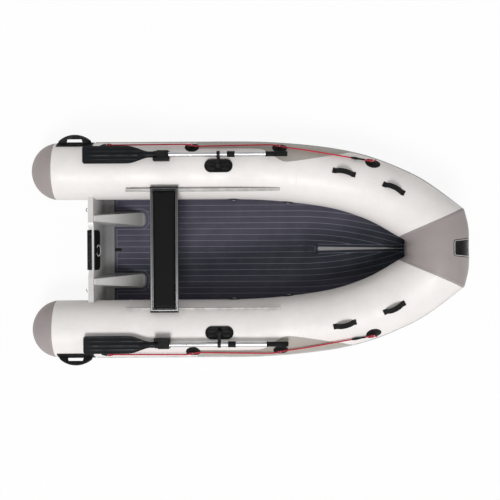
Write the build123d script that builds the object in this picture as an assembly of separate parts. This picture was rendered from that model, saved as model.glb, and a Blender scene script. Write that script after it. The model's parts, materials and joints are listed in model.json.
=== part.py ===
from build123d import *
from dataclasses import dataclass
from math import acos, asin, cos, degrees, hypot, pi, radians, sin, sqrt, tan
import os

# Rigid-bottomed inflatable tender with two buoyancy tubes, a decked hull, a sliding bench and a pair
# of oars. Millimetres. The origin is on the waterline amidships, +X to the bow, +Y to port, +Z up.
# Port pieces are modelled, and mirrored in the middle plane for starboard.

os.makedirs("parts", exist_ok=True)

# ---- driving dimensions ---------------------------------------------------------------------------
SEAT_GAP = 0.3            # between curved faces that seat on each other
MOVE_GAP = 5              # between pieces that move past each other

# buoyancy tubes
TUBE_R = 214              # radius of the straight run
TUBE_Y = 594.7              # middle line of a tube, from the middle plane
TUBE_Z = 220              # middle line of the straight run, above the water
TUBE_AFT_X = -1486        # joint between tube and stern cone
DOME_X = -1445            # where the stern's dome begins
DOME_LENGTH = 205
SHOULDER_R = 200          # arc of the dome's shoulder
BOW_X = -150               # where the tubes begin to curve in
BOW_R_1 = 4186.8            # gentle first arc of the middle line
BOW_TURN_1 = 9.799         # degrees turned in that arc
BOW_R_2 = 1477.5          # tighter second arc, up to the seam with the nose
BOW_ROLL = 23.89             # degrees that the arcs' plane is rolled, so that the tubes rise as they close
SEAM_Y = 183            # middle of the seam between tube and nose
SEAM_HEADING = 23.3       # degrees from +X of the seam's vertical plane
SEAM_GROWTH = 11          # how much the tube's radius has grown at the seam
NOSE_AHEAD = 35           # middle line of the nose, ahead of the seam's middle and above it
NOSE_ABOVE = 27
NOSE_SWELL = 4            # extra radius between the seam and the middle

# rub strake, a flat rubber strip round the outermost line
STRAKE_X = -1165
STRAKE_THICK = 7
STRAKE_GAP = 0.7          # between strake and skin
STRAKE_LIFT = 9           # degrees that it reaches above and below the outermost line

# hull and deck
DECK_Z = 40               # flat deck above the water
SKIN_BITE = 12            # how far the hull's edges reach into the tubes' circle before they are trimmed
HULL_AFT_X = -1260
# straight run: x, keel z, chine inboard of the tube's middle line, chine z, deck's middle z, deck's edge z
STRAIGHT_STATIONS = (
    (HULL_AFT_X, -150, 107, -20, DECK_Z, DECK_Z),
    (BOW_X, -150, 107, -20, DECK_Z, DECK_Z),
)
# the same for the bow, with x from the seam's middle
BOW_STATIONS = (
    (-805, -146, 109, -6, DECK_Z, DECK_Z),
    (-568, -133, 116, 14, 51, 68),
    (-368, -110, 122, 46, 75, 122),
    (-218, -66, 127, 84, 106, 182),
    (-108, -4, 128, 120, 148, 232),
    (-18, 86, 112, 160, 205, 262),
    (72, 198, 80, 206, 262, 280),
)

# transom
TRANSOM_RAKE = 13         # degrees that its top leans aft
TRANSOM_THICK = 40
TRANSOM_X = -1177         # front face at the top of the motor cut-out
CUTOUT_Z = 290            # top of the motor cut-out
CUTOUT_HALF = 165
SHOULDER_Z = 300          # top of the transom beside the cut-out
SHOULDER_HALF = 205
DECK_FILLET_X = -1064     # where the fillet between transom and deck ends

# knees, the tapered brackets between deck and transom
KNEE_Y = 237.5
KNEE_WIDTH = 106
KNEE_FRONT_X = -817
KNEE_TOP_Z = 292
KNEE_RIDGE = 42
KNEE_CORNER = 35

# deck mat
MAT_THICK = 6
MAT_AFT_X = -1058
MAT_FRONT_BACK = 160       # end of the mat, aft of the seam's middle
MAT_MARGIN = 6            # bare deck round the knees
WEDGE_X = 520             # where the bare wedge in the middle begins
WEDGE_WIDTH = 33

# motor pads
PAD_HALF = 150
PAD_THICK = 8
PAD_FOOT_Z = 95           # outer pad
PAD_INNER_FOOT_Z = 190
PAD_LIP = 25              # outer pad's lip over the transom's top

# bench and its tracks
TRACK_IN = 154.7          # inboard of the tube's middle line
TRACK_WIDTH = 20
TRACK_RISE = 45           # above the tube's skin there
TRACK_AFT_X = -924
TRACK_FRONT_X = 216
BENCH_X = (-739, -534.5)
BENCH_HALF = 455
BENCH_THICK = 18
CUSHION_X = (-727, -542)
CUSHION_HALF = 443
CUSHION_THICK = 16
BENCH_CAP = 9             # plastic cap over each end of the board
SLIDE_GAP = 0.4           # between board and tracks

# oars and rowlocks
PIN_X = -234
PIN_Y = 614
PIN_R = 6
PIN_GAP = 0.3
PIN_RISE = 28             # above the oar's axis
OAR_Y = 695
OAR_RISE = 39             # of the oar's axis above the tube
SHAFT_R = 18
SHAFT_X = (-760, 112)
GRIP_R = 20
GRIP_FRONT_X = 272
BLADE_AFT_X = -1228
BLADE_FRONT_X = -690
BLADE_HALF = 65
BLADE_THICK = 14
STOP_X = (-170, -113)
STOP_R = 23
ARM_WIDTH = 24
ARM_HEIGHT = 26
OARLOCK_LENGTH = 209
OARLOCK_WIDTH = 98
OARLOCK_RISE = 9          # above the tube
KEEPER_X = (-710, -594)
KEEPER_JAW_X = (-681, -598)
KEEPER_Y = (648, 670)
KEEPER_REACH_Y = 724
KEEPER_JAW = 10

# stern handles
HANDLE_X = -1316
HANDLE_LIFT = 18          # degrees above the outermost line
HANDLE_BASE_X = (-1448, -1176)
HANDLE_BASE_LIFT = 17
HANDLE_BASE_THICK = 5
HANDLE_HALF = 118
HANDLE_RISE = 66
HANDLE_THICK = 30
HANDLE_HOLE_HALF = 62
HANDLE_HOLE = (9, 36)

# lifelines: rope through rings on patches; places are x of the tube's middle line and degrees of lift
ROPE_R = 5.5
RING_WIRE_R = 2.5
RING_GAP = 1.6            # between ring and patch
PATCH_THICK = 4
PATCH_R = 54
ROPE_ROUTE = ((-1068, 37.5), (-471, 35.7), (-393, 43.2), (168, 35.5), (243, 41.2), (429, 44.7),
              (620, 47.8), (762, 45.2), (862, 39.4))
ROPE_RINGS = ((-1068, 37.5), (-432, 39.5), (210, 38.8), (862, 39.4))

# grab straps on the bow: x of the tube's middle line and degrees of lift
STRAP_PLACES = ((698, 80), (1058, 79.5))
STRAP_HALF = 86
STRAP_WIDTH = 39
STRAP_RISE = 45
STRAP_THICK = 5
STRAP_FOOT = 26

# tie-down rings inside the tubes
TIE_DOWN_X = (-127, 307)
TIE_DOWN_LIFT = 186
TIE_DOWN_R = 50
TIE_RING_R = 17
TIE_WIRE_R = 3

# small fittings
EYE_Y = 302
EYE_Z = 262
EYE_R = 13
EYE_WIRE_R = 4
DRAIN_X = (-1056, -1000)
DRAIN_WIDTH = 22
DRAIN_HEIGHT = 12
BADGE_HALF = 68
BADGE_LIFT = (10, 70)
BADGE_THICK = 3
BOW_EYE_BACK = 60         # aft of the seam's middle
BOW_EYE_R = 20

WORLD_UP = Vector(0, 0, 1)
BIG = 4000
TUBE_TOP_Z = TUBE_Z + TUBE_R
SEAM_R = TUBE_R + SEAM_GROWTH
TRACK_Y = TUBE_Y - TRACK_IN
TRACK_TOP_Z = TUBE_Z + sqrt(TUBE_R ** 2 - TRACK_IN ** 2) + TRACK_RISE
OARLOCK_TOP_Z = TUBE_TOP_Z + OARLOCK_RISE
OAR_Z = TUBE_TOP_Z + OAR_RISE
PIN_TOP_Z = OAR_Z + PIN_RISE


# ---- sections of the collar -----------------------------------------------------------------------
@dataclass
class Section:
    """A section of the collar: its centre, the way that the tube runs, its radius, and the plane's normal."""
    centre: Vector
    way: Vector
    radius: float
    cut: Vector

    def toward(self, lift):
        """Direction in the section, `lift` degrees above outboard."""
        out = WORLD_UP.cross(self.cut).normalized()
        up = self.cut.cross(out)
        return out * cos(radians(lift)) + up * sin(radians(lift))

    def point(self, lift, extra=0.0):
        """Place on the skin, or `extra` outside it. A section cut askew is an ellipse."""
        direction = self.toward(lift)
        along = self.way.dot(direction)
        return self.centre + direction * ((self.radius + extra) / sqrt(1 - along * along))

    def face(self, extra=0.0):
        """The whole section as a face, `extra` larger in radius."""
        radius = self.radius + extra
        askew = self.way.dot(self.cut)
        lean = self.way - self.cut * askew
        if lean.length < 1e-6:
            plane = Plane(self.centre, x_dir=self.toward(START_LIFT), z_dir=self.cut)
            return plane * Circle(radius)
        if lean.Z < 0:
            lean = lean * -1
        return Plane(self.centre, x_dir=lean, z_dir=self.cut) * Ellipse(radius / askew, radius)

    def strip(self, lift, half_lift, inner, outer):
        """Curved strip on the skin between two heights above it."""
        lifts = (lift - half_lift, lift, lift + half_lift)
        low = [self.point(a, inner) for a in lifts]
        high = [self.point(a, outer) for a in reversed(lifts)]
        return make_face([ThreePointArc(*low), Line(low[2], high[0]),
                          ThreePointArc(*high), Line(high[2], low[0])])

    def plane(self, lift, extra=0.0):
        """Plane on the skin: x along the tube, z outwards."""
        outward = self.toward(lift)
        along = self.way - outward * self.way.dot(outward)
        return Plane(self.point(lift, extra), x_dir=along, z_dir=outward)


def bow_drop(turn):
    """How far the middle line has moved forward and inwards when it has turned by `turn` degrees."""
    first = radians(min(turn, BOW_TURN_1))
    ahead = BOW_R_1 * sin(first)
    inwards = BOW_R_1 * (1 - cos(first))
    length = BOW_R_1 * first
    if turn > BOW_TURN_1:
        second = radians(turn)
        ahead += BOW_R_2 * (sin(second) - sin(first))
        inwards += BOW_R_2 * (cos(first) - cos(second))
        length += BOW_R_2 * (second - first)
    return ahead, inwards, length


def seam_turn():
    """Degrees turned where the middle line meets the seam."""
    inwards = (TUBE_Y - SEAM_Y) / cos(radians(BOW_ROLL))
    first = radians(BOW_TURN_1)
    return degrees(acos(cos(first) - (inwards - BOW_R_1 * (1 - cos(first))) / BOW_R_2))


SEAM_TURN = seam_turn()


def turn_after(length):
    """Degrees turned after a length of the bow's middle line."""
    first = BOW_R_1 * radians(BOW_TURN_1)
    if length <= first:
        return degrees(length / BOW_R_1)
    return BOW_TURN_1 + degrees((length - first) / BOW_R_2)


def tube_section(turn):
    """Square section of the port tube where its middle line has turned by `turn` degrees."""
    ahead, inwards, length = bow_drop(turn)
    roll, heading = radians(BOW_ROLL), radians(turn)
    centre = Vector(BOW_X + ahead, TUBE_Y - inwards * cos(roll), TUBE_Z + inwards * sin(roll))
    way = Vector(cos(heading), -sin(heading) * cos(roll), sin(heading) * sin(roll))
    radius = TUBE_R + (SEAM_R - TUBE_R) * length / bow_drop(SEAM_TURN)[2]
    return Section(centre, way, radius, way)


def tube_at(x):
    """Square section of the port tube whose centre is at `x`."""
    if x <= BOW_X:
        ahead = Vector(1, 0, 0)
        return Section(Vector(x, TUBE_Y, TUBE_Z), ahead, TUBE_R, ahead)
    first = sin(radians(BOW_TURN_1))
    gone = x - BOW_X
    if gone <= BOW_R_1 * first:
        return tube_section(degrees(asin(gone / BOW_R_1)))
    return tube_section(degrees(asin(min(0.98, first + (gone - BOW_R_1 * first) / BOW_R_2))))


def seam_section(side):
    """Section on the seam's plane: side 1 is port, -1 is starboard; both look from port to starboard."""
    square = tube_section(SEAM_TURN)
    heading = radians(SEAM_HEADING)
    centre = Vector(square.centre.X, side * square.centre.Y, square.centre.Z)
    way = Vector(side * square.way.X, square.way.Y, side * square.way.Z)
    return Section(centre, way, square.radius, Vector(side * sin(heading), -cos(heading), 0))


def nose_sections():
    """The seams, the middle and one section between each pair."""
    between_y = SEAM_Y * 0.51
    port = seam_section(1)
    sections = [port]
    for side in (1, 0, -1):
        heading = radians(SEAM_HEADING * 0.51) * abs(side)
        cut = Vector(side * sin(heading), -cos(heading), 0)
        rise = NOSE_ABOVE * (0.78 if side else 1)
        centre = Vector(port.centre.X + NOSE_AHEAD, side * between_y, port.centre.Z + rise)
        sections.append(Section(centre, cut, SEAM_R + (NOSE_SWELL if side else 0), cut))
    sections.append(seam_section(-1))
    return sections


SEAM_X = tube_section(SEAM_TURN).centre.X
MAT_FRONT_X = SEAM_X - MAT_FRONT_BACK
BOW_EYE_X = SEAM_X - BOW_EYE_BACK
HULL_STATIONS = STRAIGHT_STATIONS + tuple((SEAM_X + ahead, *rest) for ahead, *rest in BOW_STATIONS)
SEAM_WAY = tube_section(SEAM_TURN).way
SEAM_CUT = seam_section(1).cut
SEAM_OUT = WORLD_UP.cross(SEAM_CUT)
START_LIFT = degrees(asin(SEAM_WAY.Z / sqrt(SEAM_WAY.Z ** 2 + SEAM_WAY.dot(SEAM_OUT) ** 2)))
LOFT_STEPS = 9             # sections of the bow, evenly spaced, and two more on the straight run


# ---- helpers --------------------------------------------------------------------------------------
def save(name, *solids):
    """Writes one node."""
    shape = solids[0] if len(solids) == 1 else Compound(children=list(solids))
    export_step(shape, f"parts/{name}.step")


def other_side(shape):
    return mirror(shape, about=Plane.XZ)


def save_pair(name, shape):
    save(f"{name}_port", shape)
    save(f"{name}_starboard", other_side(shape))


def block(x, y, z):
    """Box between two values on each axis."""
    size = [high - low for low, high in (x, y, z)]
    return Pos(*[(low + high) / 2 for low, high in (x, y, z)]) * Box(*size)


def plate_across(points, half_width):
    """Outline in x and z, carried across the boat."""
    outline = make_face(Polyline([(x, 0, z) for x, z in points], close=True))
    return extrude(outline, amount=half_width, dir=(0, 1, 0), both=True)


def only(shape):
    """The largest solid of a cut, without its slivers."""
    return max(shape.solids(), key=lambda solid: solid.volume)


# ---- collar ---------------------------------------------------------------------------------------
def dome(extra=0.0):
    """Turned stern dome with a stub of tube, about the tube's middle line."""
    length = DOME_LENGTH + extra
    radius = TUBE_R + extra
    shoulder = SHOULDER_R + extra
    nose = (shoulder ** 2 - length ** 2 - (shoulder - radius) ** 2) / (2 * (shoulder - length))
    centre = Vector(DOME_X - length + nose, 0)
    hub = Vector(DOME_X, radius - shoulder)
    outward = (centre - hub) * (1 / (shoulder - nose))
    meet = centre + outward * nose
    half_way = (Vector(0, 1) + outward).normalized()
    outline = [
        Line((BOW_X, 0), (BOW_X, radius)),
        Line((BOW_X, radius), (DOME_X, radius)),
        ThreePointArc((DOME_X, radius), hub + half_way * shoulder, meet),
        ThreePointArc(meet, centre + (outward + Vector(-1, 0)).normalized() * nose,
                      (DOME_X - length, 0)),
        Line((DOME_X - length, 0), (BOW_X, 0)),
    ]
    return Pos(0, TUBE_Y, TUBE_Z) * revolve(make_face(outline), axis=Axis.X)


def bow_sections():
    """Evenly spaced sections, from the end of the straight run to the seam."""
    step = bow_drop(SEAM_TURN)[2] / LOFT_STEPS
    straight = [tube_at(BOW_X - 2 * step), tube_at(BOW_X - step)]
    curved = [tube_section(turn_after(step * count)) for count in range(LOFT_STEPS)]
    return straight + curved + [seam_section(1)]


BOW_SECTIONS = bow_sections()


def tube(extra=0.0):
    """Port tube from the cone's joint to the seam."""
    straight = dome(extra) & block((TUBE_AFT_X, BOW_SECTIONS[0].centre.X), (0, BIG), (-BIG, BIG))
    return straight + loft([section.face(extra) for section in BOW_SECTIONS])


def trimmer(extra):
    """Tube that ends square at the seam, for trimming the pieces below it."""
    straight = dome(extra) & block((TUBE_AFT_X, BOW_SECTIONS[0].centre.X), (0, BIG), (-BIG, BIG))
    sections = BOW_SECTIONS[:-1] + [tube_section(SEAM_TURN)]
    return straight + loft([section.face(extra) for section in sections])


def nose(extra=0.0):
    return loft([section.face(extra) for section in nose_sections()])


def strake_side():
    """Port strake, straight and then round the bow to the seam."""
    inner, outer = STRAKE_GAP, STRAKE_GAP + STRAKE_THICK
    start = tube_at(STRAKE_X).strip(0, STRAKE_LIFT, inner, outer)
    straight = extrude(start, amount=BOW_SECTIONS[0].centre.X - STRAKE_X, dir=(1, 0, 0))
    bow = loft([section.strip(0, STRAKE_LIFT, inner, outer) for section in BOW_SECTIONS])
    return only((straight + bow) - port_cutter)


def strake_bow():
    inner, outer = STRAKE_GAP, STRAKE_GAP + STRAKE_THICK
    strip = loft([section.strip(0, STRAKE_LIFT, inner, outer) for section in nose_sections()])
    return only(strip - nose_cutter)


port_tube = tube()
bow_nose = nose()
port_cutter = tube(SEAT_GAP)
nose_cutter = nose(SEAT_GAP)
port_trimmer = trimmer(SEAT_GAP)
TRIMMERS = (port_trimmer, other_side(port_trimmer), nose_cutter)
port_patch_reach = tube(SEAT_GAP + PATCH_THICK)


def clear_of_collar(shape):
    """Trims a piece where it would run into the tubes and the nose."""
    for trim in TRIMMERS:
        shape = shape - trim
    return shape


# ---- hull -----------------------------------------------------------------------------------------
def hull_edges(station):
    """Half section of the hull at a station: keel, chine, rail, deck's edge and deck's middle."""
    x, keel_z, chine_in, chine_z, middle_z, edge_z = station
    section = tube_at(x)
    centre = section.centre
    flat = hypot(section.way.X, section.way.Y)
    half = sqrt(max(section.radius ** 2 - (centre.Z - edge_z) ** 2, 0)) * flat / section.way.X
    rail_z = centre.Z - section.radius + SKIN_BITE
    return ((0, keel_z), (centre.Y - chine_in, chine_z), (centre.Y - 20, rail_z),
            (max(centre.Y - half + SKIN_BITE, 25), edge_z), (0, middle_z))


def station_face(station):
    half = hull_edges(station)
    other = [(-y, z) for y, z in reversed(half[1:-1])]
    return make_face(Polyline([(station[0], y, z) for y, z in list(half) + other], close=True))


def hull_body():
    return loft([station_face(station) for station in HULL_STATIONS], ruled=True)


def front_face_x(z):
    """X of the transom's front face at a height."""
    return TRANSOM_X - (z - CUTOUT_Z) * tan(radians(TRANSOM_RAKE))


hull_block = hull_body()


def hull_shell():
    ahead = plate_across([(front_face_x(-BIG), -BIG), (BIG, -BIG), (BIG, BIG), (front_face_x(BIG), BIG)], BIG)
    return only(clear_of_collar(hull_block & ahead))


def transom():
    """Raked plate, shaped to the hull below and to the motor cut-out above, with a fillet to the deck."""
    low, high = HULL_STATIONS[0][1], SHOULDER_Z + 10
    slab = plate_across([(front_face_x(low), low), (front_face_x(high), high),
                         (front_face_x(high) - TRANSOM_THICK, high),
                         (front_face_x(low) - TRANSOM_THICK, low)], BIG)
    start = front_face_x(DECK_Z)
    reach = DECK_FILLET_X - start
    lean = radians(90 - TRANSOM_RAKE)
    touch = (start - reach * cos(lean), DECK_Z + reach * sin(lean))
    turn = (radians(180) - lean) / 2
    radius = reach / tan(turn)
    hub = (DECK_FILLET_X, DECK_Z + radius)
    aim = radians(270) - turn
    middle = (hub[0] + radius * cos(aim), hub[1] + radius * sin(aim))
    hollow = make_face([
        Line((start, 0, DECK_Z), (DECK_FILLET_X, 0, DECK_Z)),
        ThreePointArc((DECK_FILLET_X, 0, DECK_Z), (middle[0], 0, middle[1]), (touch[0], 0, touch[1])),
        Line((touch[0], 0, touch[1]), (start, 0, DECK_Z))])
    hollow = extrude(hollow, amount=TUBE_Y, dir=(0, 1, 0), both=True)
    keel, chine, rail, *_ = hull_edges(HULL_STATIONS[0])
    half = [keel, chine, rail, (TUBE_Y, TUBE_Z), (TUBE_Y - 120, SHOULDER_Z),
            (SHOULDER_HALF, SHOULDER_Z), (CUTOUT_HALF, CUTOUT_Z)]
    outline = half + [(-y, z) for y, z in reversed(half[1:])]
    shape = make_face(Polyline([(HULL_AFT_X, y, z) for y, z in outline], close=True))
    shape = extrude(shape, amount=400, dir=(1, 0, 0))
    return only(clear_of_collar((slab + hollow) & shape))


def knee_foot(aft, margin):
    """Outline of a knee on the deck, or `margin` outside it, with rounded front corners."""
    front = KNEE_FRONT_X + margin
    foot = Pos((aft + front) / 2, KNEE_Y) * Rectangle(front - aft, KNEE_WIDTH + 2 * margin)
    return fillet(foot.vertices().sort_by(Axis.X)[-2:], KNEE_CORNER + margin)


def knee():
    """Port knee: a drafted tongue under a sloping ridge."""
    height = KNEE_TOP_Z - DECK_Z
    draft = degrees(asin((KNEE_WIDTH - KNEE_RIDGE) / 2 / height))
    aft = front_face_x(KNEE_TOP_Z) - 60
    body = Pos(0, 0, DECK_Z) * extrude(knee_foot(aft, 0), amount=height, taper=draft)
    under = plate_across([(front_face_x(DECK_Z), DECK_Z), (BIG, DECK_Z), (BIG, DECK_Z + 14),
                          (KNEE_FRONT_X - 22, DECK_Z + 14),
                          (front_face_x(KNEE_TOP_Z) + 12, KNEE_TOP_Z),
                          (front_face_x(KNEE_TOP_Z), KNEE_TOP_Z)], BIG)
    return (body & under) - transom_solid


# ---- deck mat -------------------------------------------------------------------------------------
def deck_mat():
    """Foam mat on the deck, trimmed to the tubes, round the knees and along the wedge."""
    layers = []
    for station in HULL_STATIONS[:-1]:
        *_, edge, middle = hull_edges(station)
        ring = [(0, middle[1]), edge, (edge[0], edge[1] + MAT_THICK), (0, middle[1] + MAT_THICK)]
        layers.append(make_face(Polyline([(station[0], y, z) for y, z in ring], close=True)))
    half = loft(layers, ruled=True)
    half = half & block((MAT_AFT_X, MAT_FRONT_X), (0, BIG), (-BIG, BIG))
    half = half - port_trimmer
    half = half - extrude(knee_foot(MAT_AFT_X - 50, MAT_MARGIN), amount=BIG, both=True)
    wedge = make_face(Polyline([(WEDGE_X, 0), (WEDGE_X, WEDGE_WIDTH / 2), (MAT_FRONT_X + 1, 3),
                                (MAT_FRONT_X + 1, 0)], close=True))
    half = only(half - extrude(wedge, amount=BIG, both=True))
    return half + other_side(half)


# ---- motor pads -----------------------------------------------------------------------------------
def pad_inner():
    foot, top = PAD_INNER_FOOT_Z, CUTOUT_Z - 3
    return plate_across([(front_face_x(foot), foot), (front_face_x(foot) + PAD_THICK, foot),
                         (front_face_x(top) + PAD_THICK, top), (front_face_x(top), top)], PAD_HALF)


def pad_outer():
    foot, top = PAD_FOOT_Z, CUTOUT_Z
    back_foot, back_top = front_face_x(foot) - TRANSOM_THICK, front_face_x(top) - TRANSOM_THICK
    lip = top + 5
    back_lip = front_face_x(lip) - TRANSOM_THICK - PAD_THICK
    return plate_across([(back_foot, foot), (back_top, top), (back_top + PAD_LIP, top),
                         (back_top + PAD_LIP, lip), (back_lip, lip),
                         (back_foot - PAD_THICK, foot)], PAD_HALF)


# ---- bench ----------------------------------------------------------------------------------------
def seat_track():
    width = (TRACK_Y - TRACK_WIDTH / 2, TRACK_Y + TRACK_WIDTH / 2)
    rail = block((TRACK_AFT_X, TRACK_FRONT_X), width, (TUBE_Z + TUBE_R / 2, TRACK_TOP_Z))
    return only(rail - port_cutter)


BOARD_Z = TRACK_TOP_Z + SLIDE_GAP


def bench_board():
    board = block(BENCH_X, (-BENCH_HALF, BENCH_HALF), (BOARD_Z, BOARD_Z + BENCH_THICK))
    return fillet(board.edges().filter_by(Axis.Y), 4)


def bench_pad():
    base = BOARD_Z + BENCH_THICK
    cushion = block(CUSHION_X, (-CUSHION_HALF, CUSHION_HALF), (base, base + CUSHION_THICK))
    return fillet(cushion.edges().filter_by(Axis.Z), 12)


def bench_end():
    return block(BENCH_X, (BENCH_HALF, BENCH_HALF + BENCH_CAP), (BOARD_Z, BOARD_Z + BENCH_THICK))


# ---- rowlock and oar ------------------------------------------------------------------------------
def rowlock_pad():
    """Oval rubber pad on top of the tube, with the pin that the oar swings on."""
    oval = extrude(Pos(PIN_X, PIN_Y, OARLOCK_TOP_Z - 60) * SlotOverall(OARLOCK_LENGTH, OARLOCK_WIDTH),
                   amount=60)
    oval = fillet(oval.faces().sort_by(Axis.Z)[-1].edges(), 3)
    pin_height = PIN_TOP_Z - OARLOCK_TOP_Z
    pin = Pos(PIN_X, PIN_Y, OARLOCK_TOP_Z + pin_height / 2) * Cylinder(PIN_R, pin_height)
    return only(oval - port_cutter) + pin


def along_x(radius, span, y, z):
    length = span[1] - span[0]
    return Pos((span[0] + span[1]) / 2, y, z) * Rot(0, 90, 0) * Cylinder(radius, length)


def oar_shaft():
    return along_x(SHAFT_R, SHAFT_X, OAR_Y, OAR_Z)


def oar_grip():
    grip = along_x(GRIP_R, (SHAFT_X[1], GRIP_FRONT_X), OAR_Y, OAR_Z)
    return fillet(grip.edges().sort_by(Axis.X)[-1], 12)


def oar_blade():
    """Flat blade that narrows to a socket round the shaft."""
    neck = SHAFT_R + 5
    outline = make_face(Polyline([
        (BLADE_AFT_X, -BLADE_HALF), (BLADE_FRONT_X - 230, -BLADE_HALF), (BLADE_FRONT_X - 40, -neck),
        (BLADE_FRONT_X, -neck), (BLADE_FRONT_X, neck), (BLADE_FRONT_X - 40, neck),
        (BLADE_FRONT_X - 230, BLADE_HALF), (BLADE_AFT_X, BLADE_HALF)], close=True))
    outline = fillet(outline.vertices().sort_by(Axis.X)[:2], 18)
    blade = Pos(0, OAR_Y, OAR_Z) * extrude(outline, amount=BLADE_THICK / 2, both=True)
    socket = along_x(neck, (BLADE_FRONT_X - 110, BLADE_FRONT_X), OAR_Y, OAR_Z)
    return blade + socket - oar_shaft()


def oar_collar():
    return along_x(STOP_R, STOP_X, OAR_Y, OAR_Z) - oar_shaft()


def oar_arm():
    """Bracket from the rowlock's pin to a ring round the shaft."""
    half = ARM_WIDTH / 2
    span = (PIN_X - half, PIN_X + half)
    arm = block(span, (PIN_Y, OAR_Y), (OAR_Z - ARM_HEIGHT / 2, OAR_Z + ARM_HEIGHT / 2))
    eye = Pos(PIN_X, PIN_Y, OAR_Z) * Cylinder(PIN_R + 11, ARM_HEIGHT)
    ring = along_x(SHAFT_R + 6, span, OAR_Y, OAR_Z)
    hole = Pos(PIN_X, PIN_Y, OAR_Z) * Cylinder(PIN_R + PIN_GAP, 2 * ARM_HEIGHT)
    return arm + eye + ring - hole - oar_shaft()


def oar_keeper():
    """Rubber block with two jaws, open outboard, that the stowed shaft lies in."""
    low = OAR_Z - SHAFT_R - MOVE_GAP
    high = OAR_Z + SHAFT_R + MOVE_GAP
    post = block(KEEPER_X, KEEPER_Y, (low - 60, high + KEEPER_JAW))
    ledge = block(KEEPER_X, (KEEPER_Y[0], KEEPER_REACH_Y), (low - 60, low))
    jaw = block(KEEPER_JAW_X, (KEEPER_Y[0], KEEPER_REACH_Y), (high, high + KEEPER_JAW))
    return only((post + ledge + jaw) - port_cutter)


# ---- stern handle ---------------------------------------------------------------------------------
def stern_handle():
    """Moulded handle on the tube's outer side: a curved base plate and an arch with a finger hole."""
    inner, outer = SEAT_GAP, SEAT_GAP + HANDLE_BASE_THICK
    wedge = Pos(0, TUBE_Y, TUBE_Z) * Rot(HANDLE_LIFT, 0, 0) * extrude(
        Plane.YZ * make_face(Polyline([(0, 0), (400, 400 * tan(radians(HANDLE_BASE_LIFT))),
                                       (400, -400 * tan(radians(HANDLE_BASE_LIFT)))], close=True)),
        amount=BIG, both=True)
    base = (dome(outer) - dome(inner)) & wedge
    base = base & block(HANDLE_BASE_X, (0, BIG), (-BIG, BIG))
    foot = TUBE_R + inner
    outline = make_face([
        Line((-HANDLE_HALF - 8, foot), (-HANDLE_HALF, foot + 22)),
        ThreePointArc((-HANDLE_HALF, foot + 22), (0, TUBE_R + HANDLE_RISE), (HANDLE_HALF, foot + 22)),
        Line((HANDLE_HALF, foot + 22), (HANDLE_HALF + 8, foot)),
        Line((HANDLE_HALF + 8, foot), (-HANDLE_HALF - 8, foot))])
    low, high = (TUBE_R + value for value in HANDLE_HOLE)
    hole = make_face(Polyline([(-HANDLE_HOLE_HALF, low), (-HANDLE_HOLE_HALF + 8, high),
                               (HANDLE_HOLE_HALF - 8, high), (HANDLE_HOLE_HALF, low)], close=True))
    arch = extrude(outline - hole, amount=HANDLE_THICK / 2, both=True)
    arch = Pos(HANDLE_X, TUBE_Y, TUBE_Z) * Rot(HANDLE_LIFT, 0, 0) * arch
    return only(base + (arch - dome(inner)))


# ---- lifelines ------------------------------------------------------------------------------------
ROPE_LIFT = SEAT_GAP + PATCH_THICK + RING_GAP + ROPE_R + SEAT_GAP + 2 * RING_WIRE_R


def rope_point(x, lift):
    return tube_at(x).point(lift, ROPE_LIFT)


def turn_radii(points):
    """For each corner, 0.45 of the shorter run divided by the tangent of half the turn."""
    radii = []
    for before, corner, after in zip(points, points[1:], points[2:]):
        turn = (corner - before).get_angle(after - corner)
        run = min((corner - before).length, (after - corner).length)
        radii.append(min(0.45 * run / tan(radians(turn / 2)), 2500))
    return radii


def rope_path():
    points = [rope_point(x, lift) for x, lift in ROPE_ROUTE]
    radii = turn_radii(points)
    print("lifeline radii", [round(radius) for radius in radii])
    return FilletPolyline(*points, radius=radii)


def lifeline(path):
    rope = sweep(Plane(path @ 0, z_dir=path % 0) * Circle(ROPE_R), path=path)
    print("lifeline length", round(path.length),
          "volume ratio", round(rope.volume / (pi * ROPE_R ** 2 * path.length), 4))
    return rope


def patch(x, lift, radius):
    """Round patch glued to the skin."""
    plane = tube_at(x).plane(lift)
    disc = extrude(plane * Circle(radius), amount=40, both=True)
    return only((disc & port_patch_reach) - port_cutter)


def rope_ring(path, x, lift):
    """Ring round the rope, standing on its patch."""
    _, nearest, _ = path.distance_to_with_closest_points(rope_point(x, lift))
    along = path.param_at_point(nearest)
    ring = Torus(ROPE_R + SEAT_GAP + RING_WIRE_R, RING_WIRE_R)
    return Plane(path @ along, z_dir=path % along) * ring


def tie_down_ring(x):
    """Ring that hangs flat against its patch inside the tube."""
    hang = tube_at(x).plane(TIE_DOWN_LIFT, 2 * SEAT_GAP + PATCH_THICK + TIE_WIRE_R)
    return hang * Torus(TIE_RING_R, TIE_WIRE_R)


# ---- grab straps ----------------------------------------------------------------------------------
def grab_strap(x, lift):
    """Arched webbing handle with a foot at each end."""
    plane = tube_at(x).plane(lift, -6)
    rise = STRAP_RISE + 6
    span = STRAP_HALF - STRAP_FOOT
    outer = [Line((-STRAP_HALF, 0), (-STRAP_HALF, 12)), Line((-STRAP_HALF, 12), (-span - 4, 13)),
             ThreePointArc((-span - 4, 13), (0, rise), (span + 4, 13)),
             Line((span + 4, 13), (STRAP_HALF, 12)), Line((STRAP_HALF, 12), (STRAP_HALF, 0)),
             Line((STRAP_HALF, 0), (span, 0)), Line((span, 0), (span, 9)),
             ThreePointArc((span, 9), (0, rise - STRAP_THICK), (-span, 9)),
             Line((-span, 9), (-span, 0)), Line((-span, 0), (-STRAP_HALF, 0))]
    outline = Rot(90, 0, 0) * make_face(outer)
    strap = extrude(outline, amount=STRAP_WIDTH / 2, both=True)
    return only((plane * strap) - port_cutter)


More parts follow.
